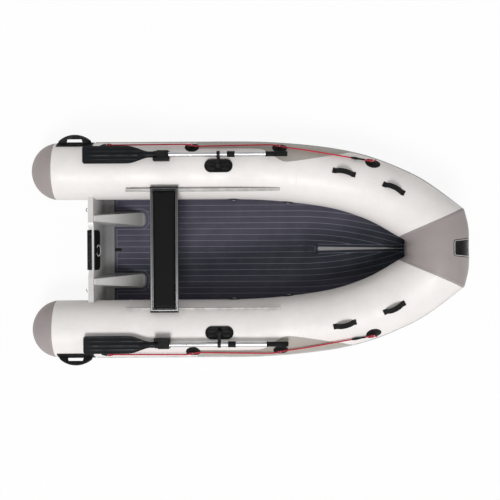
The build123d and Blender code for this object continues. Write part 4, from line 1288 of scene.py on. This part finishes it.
# ---- bench ----------------------------------------------------------------------------------------
TRACK_IN = 0.1547
TRACK_WIDTH = 0.020
TRACK_RISE = 0.045
TRACK_X = (-0.924, 0.216)
SLIDE_GAP = 0.0004
TRACK_Y = TUBE_Y - TRACK_IN
TRACK_TOP_Z = TUBE_Z + math.sqrt(TUBE_R ** 2 - TRACK_IN ** 2) + TRACK_RISE
BOARD_Z = TRACK_TOP_Z + SLIDE_GAP
BENCH_X = (-0.739, -0.5345)
BENCH_HALF = 0.455
BENCH_THICK = 0.018
BENCH_CAP = 0.009
CAP_LIP = 0.002
CAP_GAP = 0.0003
TRACK_GROOVE = (0.004, 0.003, 0.002)
CUSHION_X = (-0.727, -0.542)
CUSHION_HALF = 0.443
CUSHION_THICK = 0.016
CUSHION_CORNER = 0.012
PIPING_R = 0.0022


def tube_height(y):
    """Height at which a fitting sits on the straight tube, at a distance from the middle plane."""
    return TUBE_Z + math.sqrt((TUBE_R + SEAT_GAP) ** 2 - (TUBE_Y - y) ** 2)


def seat_tracks():
    """Rail with a grooved top, moulded to the tube's curve."""
    low, high = TRACK_Y - TRACK_WIDTH / 2, TRACK_Y + TRACK_WIDTH / 2
    mouth, floor_half, deep = TRACK_GROOVE
    outline = [(high, tube_height(high)), (high, TRACK_TOP_Z), (TRACK_Y + mouth, TRACK_TOP_Z),
               (TRACK_Y + floor_half, TRACK_TOP_Z - deep), (TRACK_Y - floor_half, TRACK_TOP_Z - deep),
               (TRACK_Y - mouth, TRACK_TOP_Z), (low, TRACK_TOP_Z), (low, tube_height(low))]
    rail = bar(eased(outline, 0.0016, 4), *TRACK_X, edge=0.004)[..., [2, 0, 1]]
    pair("seat_rail", "hull", "track_rubber", [(rail, 0)], [TRACK_RUBBER], ["seat_track"])


def bench():
    """Extruded aluminium board with grooved sides, and a moulded cap over each end."""
    (aft, fore), low, high = BENCH_X, BOARD_Z, BOARD_Z + BENCH_THICK
    middle = (low + high) / 2
    groove = [(0, 0.002), (0.0015, 0.001), (0.0015, -0.001), (0, -0.002)]
    front = [(fore - deep, middle - up) for deep, up in groove]
    back = [(aft + deep, middle + up) for deep, up in groove]
    outline = [(aft, low), (fore, low), *front, (fore, high), (aft, high), *back]
    build("bench_plank", "bench", "aluminium", [(across(eased(outline, 0.0035), BENCH_HALF, 0.0006), 0)],
          [BOARD_METAL], replaces=["bench_board"])
    low, top, ends = low + 0.0008, high + CAP_LIP, (aft - CAP_LIP, fore + CAP_LIP)
    outline = [(ends[0], low), (ends[1], low), (ends[1], top), (ends[0], top)]
    cap = bar(eased(outline, 0.004), 0, BENCH_CAP, edge=0.0025)
    cap = placed(cap, (0, BENCH_HALF + BENCH_CAP, 0), AHEAD, -TO_PORT)
    inner = (aft - CAP_GAP, fore + CAP_GAP)
    brim = [(inner[0], middle), (inner[0], high + CAP_GAP), (inner[1], high + CAP_GAP), (inner[1], middle),
            (ends[1], middle), (ends[1], top), (ends[0], top), (ends[0], middle)]
    brim = bar(eased(brim, 0.0015, 3), 0, 0.004, edge=0.0007)
    brim = placed(brim, (0, BENCH_HALF + 0.001, 0), AHEAD, -TO_PORT)
    pair("bench_cap", "bench", "black_plastic", [(cap, 0), (brim, 0)], [BLACK_PLASTIC], ["bench_end"])


def cushion_outline(inset):
    """The cushion from above, `inset` smaller."""
    return rounded(CUSHION_X[1] - CUSHION_X[0] - 2 * inset, 2 * (CUSHION_HALF - inset), CUSHION_CORNER)


def on_bench(grid):
    """A grid in the cushion's own axes, set on the board."""
    return placed(grid, (sum(CUSHION_X) / 2, 0, BOARD_Z + BENCH_THICK), AHEAD, UP)


def cushion_start(inset):
    """The cushion's form before it is blown up: a block with rounded corners, `inset` smaller."""
    return on_bench(bar(cushion_outline(inset), inset * 0.5, CUSHION_THICK - inset, edge=0.005))


CUSHION_PRESSURE = 4.0
CUSHION_FRAMES = 20
CUSHION_CAP = 0.006
VOXEL = 0.005


def blown_up(piece):
    """Cloth simulation of the cover under pressure; a point moves `CUSHION_CAP` at most, and stays off
    the bench."""
    remesh = piece.modifiers.new("Voxels", "REMESH")
    remesh.mode, remesh.voxel_size = "VOXEL", VOXEL
    applied(piece)
    before = vertices(piece.data)
    cloth = piece.modifiers.new("Cover", "CLOTH")
    cloth.settings.use_pressure = True
    cloth.settings.uniform_pressure_force = CUSHION_PRESSURE
    cloth.settings.effector_weights.gravity = 0
    scene = bpy.context.scene
    for number in range(1, CUSHION_FRAMES + 1):
        scene.frame_set(number)
    applied(piece)
    scene.frame_set(1)
    moved = vertices(piece.data) - before
    far = np.linalg.norm(moved, axis=1, keepdims=True)
    points = before + moved * np.minimum(1, CUSHION_CAP / np.maximum(far, 1e-9))
    points[:, 2] = np.maximum(points[:, 2], BOARD_Z + BENCH_THICK + 0.0002)
    piece.data.vertices.foreach_set("co", points.ravel().astype(np.float32))
    smooth = piece.modifiers.new("Smooth", "SUBSURF")
    smooth.levels = smooth.render_levels = 1
    applied(piece)


def applied(piece):
    """The piece's mesh as its modifiers make it, with the modifiers taken off."""
    depsgraph = bpy.context.evaluated_depsgraph_get()
    mesh = bpy.data.meshes.new_from_object(piece.evaluated_get(depsgraph))
    piece.modifiers.clear()
    piece.data = mesh
    mesh.shade_smooth()


def bench_cushion():
    """Foam cushion in a sewn cover, with piping round its top and bottom edges."""
    piece = build("bench_cushion", "bench", "cushion", [(cushion_start(0.003), 0)], [UPHOLSTERY], sharp=60,
                  replaces=["bench_pad"])
    blown_up(piece)
    outline = cushion_outline(PIPING_R)
    for number, height in enumerate((PIPING_R + 0.0004, CUSHION_THICK - 0.0045)):
        path = on_bench(np.concatenate([outline, np.full((len(outline), 1), height)], axis=1))
        grids = [(ring_wire(path, PIPING_R, 9), 0)]
        build(f"cushion_piping_{number}", "bench", "cushion", grids, [UPHOLSTERY])


# ---- rowlocks and oars ----------------------------------------------------------------------------
TUBE_TOP_Z = TUBE_Z + TUBE_R
PIN_X, PIN_Y = -0.234, 0.614
PIN_R = 0.006
OAR_Y = 0.695
OAR_Z = TUBE_TOP_Z + 0.039
PIN_TOP_Z = OAR_Z + 0.028
SHAFT_R = 0.018
SHAFT_X = (-0.760, 0.112)
GRIP_R = 0.020
GRIP_FRONT_X = 0.272
BLADE_X = (-1.228, -0.690)
BLADE_HALF = 0.065
BLADE_THICK = 0.014
BLADE_WAIST = (-0.905, -0.722)
STOP_X = (-0.170, -0.113)
STOP_R = 0.023
ARM_HEIGHT = 0.026
OARLOCK_LENGTH = 0.209
OARLOCK_WIDTH = 0.098
OARLOCK_TOP_Z = TUBE_TOP_Z + 0.009
LOBE = (0.060, 0.026)
LOBE_AT = (0.053, 0.0165)
BOSS_R = 0.019
WASHER_R = 0.011
BLADE_CORNER = 0.018
NECK_HALF = SHAFT_R + 0.003
SOCKET_R = 0.0228


def about_pin(profile, z):
    """Profile of (radius, height) pairs turned about the rowlock's pin, above a height."""
    return turned(profile, (PIN_X, PIN_Y, z), UP, AHEAD)


def rowlock_pads():
    """Oval pad with a raised rim, two pairs of lobes in its recess, and a boss that carries the pin."""
    outline = rounded(OARLOCK_LENGTH, OARLOCK_WIDTH, OARLOCK_WIDTH / 2 - 0.0001, 19)
    top = OARLOCK_TOP_Z - TUBE_TOP_Z
    inset = np.array([0.0, 0.0005, 0.0015, 0.0035, 0.006, 0.0085, 0.0095, 0.011, 0.030])
    height = np.array([0.0, 0.72, 0.92, 1.0, 1.0, 0.94, 0.6, 0.5, 0.5]) * top
    flat = outline[None] + inward(outline)[None] * inset[:, None, None]
    flat[-1, :, 1] *= 0.3
    heights = np.broadcast_to(height[:, None, None], flat.shape[:2] + (1,)).copy()
    below = PIN_Y + outline[:, 1] - TUBE_Y
    heights[0, :, 0] = np.sqrt((TUBE_R + SEAT_GAP) ** 2 - below ** 2) - TUBE_R
    parts = [placed(closed(np.concatenate([flat, heights], -1)), (PIN_X, PIN_Y, TUBE_TOP_Z), AHEAD, UP)]
    lobe = moulded(rounded(*LOBE, LOBE[1] / 2 - 0.0005, 9), top * 0.45, top * 0.86, 0.0022)
    for x in (PIN_X - LOBE_AT[0], PIN_X + LOBE_AT[0]):
        for y in (PIN_Y - LOBE_AT[1], PIN_Y + LOBE_AT[1]):
            parts.append(placed(lobe, (x, y, TUBE_TOP_Z), AHEAD, UP))
    parts.append(about_pin([(0, 0.003), (BOSS_R, 0.003), (BOSS_R, top * 0.95), (BOSS_R - 0.0015, top * 1.08),
                            (0.012, top * 1.1), (0, top * 1.1)], TUBE_TOP_Z))
    high = PIN_TOP_Z - OARLOCK_TOP_Z
    washer = OAR_Z + ARM_HEIGHT / 2 + 0.0006 - OARLOCK_TOP_Z
    pin = about_pin([(0, 0), (PIN_R, 0), (PIN_R, high - 0.002), (PIN_R - 0.002, high), (0, high)],
                    OARLOCK_TOP_Z)
    cap = about_pin([(0, washer), (WASHER_R, washer), (WASHER_R + 0.0005, washer + 0.001),
                     (WASHER_R, washer + 0.0025), (0, washer + 0.003)], OARLOCK_TOP_Z)
    grids = [(part, 0) for part in parts] + [(pin, 1), (cap, 1)]
    pair("rowlock", "hull", "black_rubber", grids, [BLACK_RUBBER, BLACK_PLASTIC], ["rowlock_pad"])


def along_oar(profile):
    """Profile of (radius, x) pairs turned about the oar's axis."""
    return turned(profile, (0, OAR_Y, OAR_Z), AHEAD, TO_PORT)


def ridged(x, radius, deep, pitch, steep):
    """Radii of a ridged sleeve: a cosine wave with flattened crests and troughs."""
    return radius - deep + deep * np.clip(steep * np.cos(2 * np.pi * x / pitch), -1, 1)


def oar_shafts():
    """Tubular looms, each with a joint's raised band and its spring button."""
    aft, fore = SHAFT_X
    band = SHAFT_R + 0.0006
    tube = [(0, aft), (SHAFT_R, aft), (SHAFT_R, -0.452), (band, -0.450), (band, -0.432), (SHAFT_R, -0.430),
            (SHAFT_R, fore), (0, fore)]
    button = turned([(0, 0), (0.005, 0), (0.0045, 0.003), (0.002, 0.0045), (0, 0.0048)],
                    (-0.470, OAR_Y, OAR_Z + SHAFT_R - 0.0006), UP, AHEAD, ROUND[::4])
    grids = [(along_oar(tube), 0), (button, 1)]
    pair("oar_loom", OARS, "aluminium", grids, [ALUMINIUM, STEEL], ["oar_shaft"])


def oar_grips():
    """Handle grip: a flange, close ribs, and a rounded end."""
    start, length = SHAFT_X[1], GRIP_FRONT_X - SHAFT_X[1]
    x = np.linspace(0.010, length - 0.014, 121)
    profile = [(0, 0), (GRIP_R, 0), (GRIP_R + 0.001, 0.002), (GRIP_R + 0.001, 0.006), (GRIP_R - 0.001, 0.008)]
    profile += list(zip(ridged(x, GRIP_R, 0.0012, 0.008, 1.5), x))
    for turn in quarter_turn(7):
        profile.append((GRIP_R - 0.008 + 0.008 * math.cos(turn), length - 0.012 + 0.012 * math.sin(turn)))
    profile.append((0, length))
    grid = along_oar([(radius, start + place) for radius, place in profile])
    pair("oar_handle", OARS, "grip_rubber", [(grid, 0)], [GRIP_RUBBER], ["oar_grip"], sharp=60)


def bell(distance, width):
    """Bell curve of a distance."""
    return np.exp(-(distance / width) ** 2)


def oar_blades():
    """Blade: even in width, then in to a neck by a cosine curve; a middle rib, two side ribs and a rim."""
    aft, fore = BLADE_X
    tip = aft + BLADE_CORNER * (1 - np.cos(quarter_turn(9)))
    x = np.concatenate([tip, np.linspace(aft + 0.03, fore, 56)])
    share = np.clip((x - BLADE_WAIST[0]) / (BLADE_WAIST[1] - BLADE_WAIST[0]), 0, 1)
    half = NECK_HALF + (BLADE_HALF - NECK_HALF) * (0.5 + 0.5 * np.cos(np.pi * share))
    corner = np.clip((aft + BLADE_CORNER - x) / BLADE_CORNER, 0, 1)
    half = half - BLADE_CORNER * (1 - np.sqrt(1 - corner ** 2 * 0.9999))
    v = np.sin(np.linspace(-np.pi / 2, np.pi / 2, 45))
    y = half[:, None] * v[None]
    fade = np.clip((x - aft - 0.02) / 0.08, 0, 1) * np.clip((fore - 0.02 - x) / 0.1, 0, 1)
    thick = 0.0032 + 0.0006 * (1 - v ** 2)
    thick = thick + fade[:, None] * (0.0032 * bell(y, 0.007) + 0.0018 * bell(np.abs(y) - 0.031, 0.0045))
    thick = thick + 0.0012 * bell(half[:, None] - np.abs(y) - 0.005, 0.003)
    rim = np.sqrt(np.clip((1 - np.abs(v)) * half[:, None] / 0.004, 0, 1))
    thick = thick * (0.15 + 0.85 * rim) * np.where(x < aft + 0.0005, 0.35, 1)[:, None]
    faces = [np.stack(np.broadcast_arrays(x[:, None], OAR_Y + y, OAR_Z + rise), -1)
             for rise in (np.minimum(thick, BLADE_THICK / 2), -np.minimum(thick, BLADE_THICK / 2))]
    profile = [(0, -0.150), (0.004, -0.148), (0.012, -0.120), (0.020, -0.085), (SOCKET_R, -0.060),
               (SOCKET_R, -0.004), (0.0212, 0), (0.0205, 0.013), (SHAFT_R - 0.001, 0.013), (0, 0.013)]
    socket = along_oar([(radius, fore + place) for radius, place in profile])
    pair("oar_paddle", OARS, "black_plastic", [(plate(*faces), 0), (socket, 0)], [BLACK_PLASTIC],
         ["oar_blade"], sharp=50)


def oar_stops():
    """Ridged collars on the looms, in front of the rowlocks' arms."""
    aft, fore = STOP_X
    x = np.linspace(aft + 0.004, fore - 0.004, 50)
    ridges = zip(ridged(x - aft, STOP_R, 0.0008, 0.0098, 2), x)
    inner, edge = SHAFT_R - 0.001, STOP_R - 0.002
    profile = [(inner, aft), (edge, aft), (STOP_R, aft + 0.002), *ridges, (STOP_R, fore - 0.002),
               (edge, fore), (inner, fore)]
    pair("oar_stop", OARS, "black_plastic", [(along_oar(profile), 0)], [BLACK_PLASTIC], ["oar_collar"])


# ---- lifelines ------------------------------------------------------------------------------------
ROPE_R = 0.0055
RING_WIRE_R = 0.0025
PATCH_THICK = 0.004
PATCH_R = 0.054
# x of the tube's middle line and degrees of lift
ROPE_ROUTE = ((-1.068, 37.5), (-0.536, 35.9), (-0.471, 35.7), (-0.393, 43.2), (-0.326, 42.3),
              (0.104, 36.4), (0.168, 35.5), (0.243, 41.2), (0.311, 42.5), (0.429, 44.7), (0.620, 47.8),
              (0.762, 45.2), (0.862, 39.4))
ROPE_RINGS = ((-1.068, 37.5), (-0.432, 39.5), (0.210, 38.8), (0.862, 39.4))
RING_GAP = 0.0016
ROPE_LIFT = 2 * SEAT_GAP + RING_GAP + PATCH_THICK + ROPE_R + 2 * RING_WIRE_R
SLEEVE_X = (0.740, 0.843)
SLEEVE_R = 0.0068
SLEEVE_BULGE = 0.0032
SLEEVE_TURNS = 22
# knots: size of the trefoil and radius of its strand
END_KNOT = (0.0042, 0.0044)
RING_KNOT = (0.0034, 0.0038)


def route_line(points, spacing):
    """Smooth line of the route's control points, read from its spline at even spaces."""
    curve = bpy.data.curves.new("route", "CURVE")
    curve.dimensions = "3D"
    curve.resolution_u = 40
    spline = curve.splines.new("NURBS")
    spline.points.add(len(points) - 1)
    for knot, place in zip(spline.points, points):
        knot.co = (*place, 1)
    spline.order_u = 3
    spline.use_endpoint_u = True
    holder = bpy.data.objects.new("route", curve)
    line = vertices(bpy.data.meshes.new_from_object(holder))
    bpy.data.objects.remove(holder)
    return respaced(line, int(gone(line)[-1] / spacing))


def braided(path, radius, up=UP, steps=17, plaits=4, lay=0.034):
    """Rope along a path: its radius rises and falls as the product of two sine waves that wind round it
    in opposite ways."""
    turn = full_turn(steps)
    wind = 4 * np.pi * gone(path)[:, None] / lay
    swell = radius * (0.965 + 0.06 * np.sin(plaits * turn + wind) * np.sin(plaits * turn - wind))
    return closed(path[:, None] + swell[..., None] * swung(turn, *frames(path, up)))


def rope_place(x, lift):
    """Place of the rope's middle over the skin."""
    return skin(x, math.radians(lift), ROPE_LIFT)


def knot(centre, x_way, z_way, size, radius):
    """Overhand knot: a trefoil, (sin t + 2 sin 2t, cos t - 2 cos 2t, -1.1 sin 3t), drawn tight."""
    t = full_turn(97)
    shape = [np.sin(t) + 2 * np.sin(2 * t), np.cos(t) - 2 * np.cos(2 * t), -1.1 * np.sin(3 * t)]
    return ring_wire(placed(np.stack(shape, -1) * size, centre, x_way, z_way), radius, 9)


def lifelines():
    """Rope with a knot at each ring, a whipped sleeve by the forward one, and its loose end there."""
    line = route_line([rope_place(x, lift) for x, lift in ROPE_ROUTE], 0.003)
    sleeve = line[(line[:, 0] > SLEEVE_X[0]) & (line[:, 0] < SLEEVE_X[1])]
    share = np.linspace(0, 1, len(sleeve))
    whipping = 0.0003 * np.sin(share * 2 * np.pi * SLEEVE_TURNS)
    size = SLEEVE_R + SLEEVE_BULGE * bell(share - 0.30, 0.22) + whipping
    grids = [(braided(line, ROPE_R), 0), (closed(carried(sleeve, oval(2, 2, 2, 17), UP, size)), 1)]
    for (x, lift), along in ((ROPE_RINGS[0], 0.016), (ROPE_RINGS[-1], -0.014)):
        _, ahead, out = seat(x, lift)
        grids.append((knot(rope_place(x, lift) + ahead * along, ahead, out, *END_KNOT), 0))
    for x, lift in ROPE_RINGS[1:3]:
        _, ahead, out = seat(x, lift)
        grids.append((knot(rope_place(x - 0.016, lift - 0.6), ahead, out, *RING_KNOT), 0))
    x, lift = ROPE_RINGS[-1]
    here, ahead, out = seat(x, lift)
    tied, outboard = rope_place(x, lift), np.cross(out, ahead)
    tail = [tied - ahead * 0.010, tied + outboard * 0.012 + ahead * 0.006,
            here + out * 0.0125 + outboard * 0.024 + ahead * 0.012,
            here + out * 0.0098 + outboard * 0.040 + ahead * 0.014]
    grids.append((braided(route_line(tail, 0.003), 0.0046), 0))
    pair("lifeline_rope", "hull", "rope_red", grids, [ROPE_RED, WEBBING], ["lifeline"])


def patch_grids(x, lift, radius):
    """Moulded round patch: an upright edge, a rim, a shallow dish and two lugs beside its ring."""
    rho = radius * np.array([1.0, 1.0, 0.985, 0.955, 0.92, 0.895, 0.88, 0.6, 0.3, 0.0])[:, None]
    high = np.array([-0.07, 0.55, 0.9, 1.0, 1.0, 0.92, 0.72, 0.74, 0.76, 0.76]) * (PATCH_THICK + SEAT_GAP)
    turn = full_turn(65)
    disc = around(x, lift, rho * np.cos(turn), rho * np.sin(turn), high[:, None] + 0 * turn)
    here, ahead, out = seat(x, lift)
    lug = moulded(rounded(0.010, 0.024, 0.004), 0.002, 0.0085, 0.002)
    return [disc] + [placed(lug, here + ahead * side * 0.0105, ahead, out) for side in (-1, 1)]


def fittings(name, patches, hoops, replaces):
    """The patches and the steel rings of both sides."""
    build(f"{name}_patches", "hull", "black_rubber", both([(grid, 0) for grid in patches]), [BLACK_RUBBER],
          replaces=[replaces + "_patches"])
    build(f"{name}_rings", "hull", "steel", both([(grid, 0) for grid in hoops]), [STEEL],
          replaces=[replaces + "_rings"])


def rope_fittings():
    """Patch and ring at each place where a lifeline is held."""
    patches, hoops = [], []
    line = route_line([rope_place(x, lift) for x, lift in ROPE_ROUTE], 0.001)
    for x, lift in ROPE_RINGS:
        patches += patch_grids(x, lift, PATCH_R)
        away = np.linalg.norm(line - rope_place(x, lift), axis=1)
        nearest = np.clip(np.argmin(away), 1, len(line) - 2)
        way = unit(line[nearest + 1] - line[nearest - 1])
        side = unit(np.cross(way, UP))
        radius = ROPE_R + SEAT_GAP + RING_WIRE_R
        hoops.append(hoop(line[nearest], side, np.cross(side, way), radius, RING_WIRE_R, 33))
    fittings("rope", patches, hoops, "lifeline")


TIE_DOWN_X = (-0.127, 0.307)
TIE_DOWN_LIFT = 186
TIE_DOWN_R = 0.050
TIE_RING_R = 0.017
TIE_WIRE_R = 0.003


def tie_downs():
    """Patches on the tubes' inner sides, each with a ring that lies flat on it."""
    patches, hoops = [], []
    for x in TIE_DOWN_X:
        patches += patch_grids(x, TIE_DOWN_LIFT, TIE_DOWN_R)
        centre = skin(x, math.radians(TIE_DOWN_LIFT), 2 * SEAT_GAP + PATCH_THICK + TIE_WIRE_R)
        _, ahead, out = seat(x, TIE_DOWN_LIFT)
        hoops.append(hoop(centre, ahead, np.cross(out, ahead), TIE_RING_R, TIE_WIRE_R))
    fittings("tie", patches, hoops, "tie_down")


# ---- grab straps ----------------------------------------------------------------------------------
STRAP_PLACES = ((0.698, 80), (1.058, 79.5))
STRAP_HALF = 0.086
STRAP_WIDTH = 0.039
STRAP_RISE = 0.045
STRAP_THICK = 0.005
STRAP_FOOT = 0.026
STRAP_SOLE = 0.0042
STITCH_PITCH = 0.008


def grab_straps():
    """Folded webbing handle: a circle's arc between two sewn feet."""
    span, top = STRAP_HALF - STRAP_FOOT, STRAP_RISE - STRAP_THICK / 2
    radius = (span ** 2 + (top - STRAP_SOLE) ** 2) / (2 * (top - STRAP_SOLE))
    u = np.linspace(-STRAP_HALF, STRAP_HALF, 97)
    arc = top - radius + np.sqrt(np.maximum(radius ** 2 - u ** 2, 0))
    arc = np.pad(np.where(np.abs(u) < span, arc, STRAP_SOLE), 3, mode="edge")
    height = np.convolve(arc, np.array([1, 2, 3, 4, 3, 2, 1]) / 16, mode="valid")
    profile = oval(STRAP_WIDTH, STRAP_THICK, 8, 33)
    stitch = moulded(rounded(0.0016, STRAP_WIDTH - 0.008, 0.0007, 3), 0.0055, 0.0072, 0.0005, 3)
    grids = []
    for x, lift in STRAP_PLACES:
        here, ahead, out = seat(x, lift)
        path = here + ahead * u[:, None] + out * height[:, None]
        grids.append((closed(carried(path, profile, out)), 0))
        for side in (-1, 1):
            middle = here + ahead * side * (STRAP_HALF - STRAP_FOOT / 2)
            for row in (-1, 0, 1):
                grids.append((placed(stitch, middle + ahead * row * STITCH_PITCH, ahead, out), 1))
    build("strap_handles", "hull", "webbing", both(grids), [WEBBING, PLATE_BLACK], replaces=["grab_straps"])


# ---- small fittings -------------------------------------------------------------------------------
EYE_Y, EYE_Z = 0.302, 0.262
EYE_R = 0.013
EYE_WIRE_R = 0.004
EYE_PLATE = (0.044, 0.030, 0.008)
EYE_PLATE_THICK = 0.0045
BADGE_HALF = 0.068
BADGE_LIFT = (10, 70)
BADGE_THICK = 0.003
BADGE_CORNER = 0.014


def transom_rings():
    """Eye, plate and two bolts on the transom's aft face."""
    back = back_face_x(EYE_Z)
    out = (-math.cos(TRANSOM_RAKE), 0, -math.sin(TRANSOM_RAKE))
    eye = hoop((back - EYE_R - EYE_WIRE_R + 0.002, EYE_Y, EYE_Z), AHEAD, TO_PORT, EYE_R, EYE_WIRE_R)
    base = moulded(rounded(*EYE_PLATE), 0, EYE_PLATE_THICK, 0.0015)
    grids = [(eye, 0), (placed(base, (back, EYE_Y, EYE_Z), TO_PORT, out), 0)]
    for side in (-1, 1):
        place = (back - EYE_PLATE_THICK, EYE_Y + side * 0.015, EYE_Z)
        head = [(0.0055, 0), (0.0055, 0.002), (0.004, 0.0035), (0, 0.004)]
        grids.append((turned(head, place, out, TO_PORT, ROUND[::4]), 0))
    build("transom_rings", "hull", "steel", both(grids), [STEEL], replaces=["transom_eyes"])


def badge():
    """Blank plate bent over the nose: a dark frame, a fine pale line inside it, and a raised dark field."""
    layers = ((0.0, 0.0019, 0), (0.006, 0.0024, 1), (0.0105, BADGE_THICK, 0))
    reach = SEAM_R * math.radians(BADGE_LIFT[1] - BADGE_LIFT[0])
    grids = []
    for inset, high, number in layers:
        outline = rounded(reach - 2 * inset, 2 * (BADGE_HALF - inset), BADGE_CORNER - inset)
        body = moulded(respaced(outline, 121), -0.001, high, 0.0006, 3)
        inner = body[-2] + (body[-1] - body[-2]) * np.linspace(0.12, 0.96, 8)[:, None, None]
        grids.append((badge_bent(np.concatenate([body[1:-1], inner, body[-1:]]), reach), number))
    build("badge_plate", "hull", "badge", grids, [PLATE_BLACK, PLATE_LINE], replaces=["nose_badge"])


def badge_bent(flat, reach):
    """A flat form laid on the nose: its x goes up the front, its y across."""
    turn = math.radians(BADGE_LIFT[1] - BADGE_LIFT[0])
    lift = math.radians(sum(BADGE_LIFT) / 2) + flat[..., 0] / reach * turn
    share = 0.5 - flat[..., 1] / NOSE_SPAN
    laid_on = nose_skin(lift.ravel(), flat[..., 2].ravel(), share.ravel(), paired=True)
    return laid_on.reshape(flat.shape)


NOSE_SPAN = lengths(nose_skin(np.radians([35.0])), 0)[-1]
BOW_EYE_R = 0.020
BOW_EYE_WIRE_R = 0.005


def towing_eye():
    """Ring on the stem."""
    low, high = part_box("bow_eye")
    centre = np.array([(low[0] + high[0]) / 2, 0, low[2] + BOW_EYE_R + BOW_EYE_WIRE_R])
    grids = [(hoop(centre, AHEAD, UP, BOW_EYE_R, BOW_EYE_WIRE_R), 0)]
    build("towing_ring", "hull", "steel", grids, [STEEL], replaces=["bow_eye"])


# ---- setting --------------------------------------------------------------------------------------
CAMERA = (-0.0055, -0.0068, 7.2)
CAMERA_TURN = math.radians(-0.337)
LENS = 66.3
SENSOR = 36
FLOOR_HALF = 6.0
FLOOR_SEEN = 0.9
SKY = 0.52
SUN = 2.0
SUN_SPREAD = math.radians(20)
SUN_TURN = (math.radians(30), math.radians(-4), 0)


def floor():
    """Pale water level that shows the boat's shadow; seen directly it is mixed with plain white."""
    mesh = bpy.data.meshes.new("floor")
    corners = [(x * FLOOR_HALF, y * FLOOR_HALF, 0) for x, y in ((-1, -1), (1, -1), (1, 1), (-1, 1))]
    mesh.from_pydata(corners, [], [(0, 1, 2, 3)])
    made, tree, shader = begin("floor", 0.9, Specular_IOR_Level=0.0)
    shader.inputs["Base Color"].default_value = grey(0.85)
    plain = put(tree, "Emission", {"Color": (1, 1, 1, 1), "Strength": 1.0}).outputs[0]
    direct = sums(tree, "MULTIPLY", put(tree, "LightPath").outputs["Is Camera Ray"], FLOOR_SEEN)
    blend = put(tree, "MixShader", {0: direct, 1: shader.outputs[0], 2: plain}).outputs[0]
    tree.links.new(blend, tree.nodes["Material Output"].inputs["Surface"])
    mesh.materials.append(made)
    linked("floor", mesh)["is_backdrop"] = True


def lights():
    """White sky, brighter where the camera sees it than as a light, and a soft sun."""
    world = bpy.data.worlds.new("studio")
    bpy.context.scene.world = world
    world.use_nodes = True
    tree = world.node_tree
    back = tree.nodes["Background"]
    back.inputs["Color"].default_value = (1, 1, 1, 1)
    path = put(tree, "LightPath").outputs
    seen = sums(tree, "MAXIMUM", path["Is Camera Ray"], path["Is Transmission Ray"])
    strength = put(tree, "MapRange", {0: seen, 1: 0.0, 2: 1.0, 3: SKY, 4: 1.0}).outputs[0]
    tree.links.new(strength, back.inputs["Strength"])
    lamp = bpy.data.lights.new("key", "SUN")
    lamp.energy, lamp.angle = SUN, SUN_SPREAD
    key = linked("key", lamp)
    key.rotation_euler = SUN_TURN
    key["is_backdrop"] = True


def camera():
    """Camera straight above, turned a little about its line of sight."""
    lens = bpy.data.cameras.new("camera")
    lens.lens, lens.sensor_width = LENS, SENSOR
    eye = linked("camera", lens)
    eye.location = CAMERA
    eye.rotation_euler = (0, 0, CAMERA_TURN)
    bpy.context.scene.camera = eye


def visual_box():
    """Box of every shown piece of the boat."""
    bpy.context.view_layer.update()
    depsgraph = bpy.context.evaluated_depsgraph_get()
    low, high = np.full(3, np.inf), np.full(3, -np.inf)
    for piece in bpy.context.scene.objects:
        if piece.type != "MESH" or piece.hide_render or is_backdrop(piece):
            continue
        shown = piece.evaluated_get(depsgraph)
        points = np.zeros(len(shown.data.vertices) * 3, np.float32)
        shown.data.vertices.foreach_get("co", points)
        points = points.reshape(-1, 3)
        low, high = np.minimum(low, points.min(axis=0)), np.maximum(high, points.max(axis=0))
    return low.tolist(), high.tolist()


for make in (tubes, stern_cones, bow_nose, rub_strakes, side_panels, hull, mouldings, deck_mat, motor_pads,
             pad_loop, drain, seat_tracks, bench, bench_cushion, rowlock_pads, oar_shafts, oar_grips,
             oar_blades, oar_stops, lifelines, rope_fittings, tie_downs, grab_straps, transom_rings, badge,
             towing_eye, floor, lights, camera):
    make()

scene = bpy.context.scene
scene.view_settings.view_transform = "Standard"
low, high = visual_box()
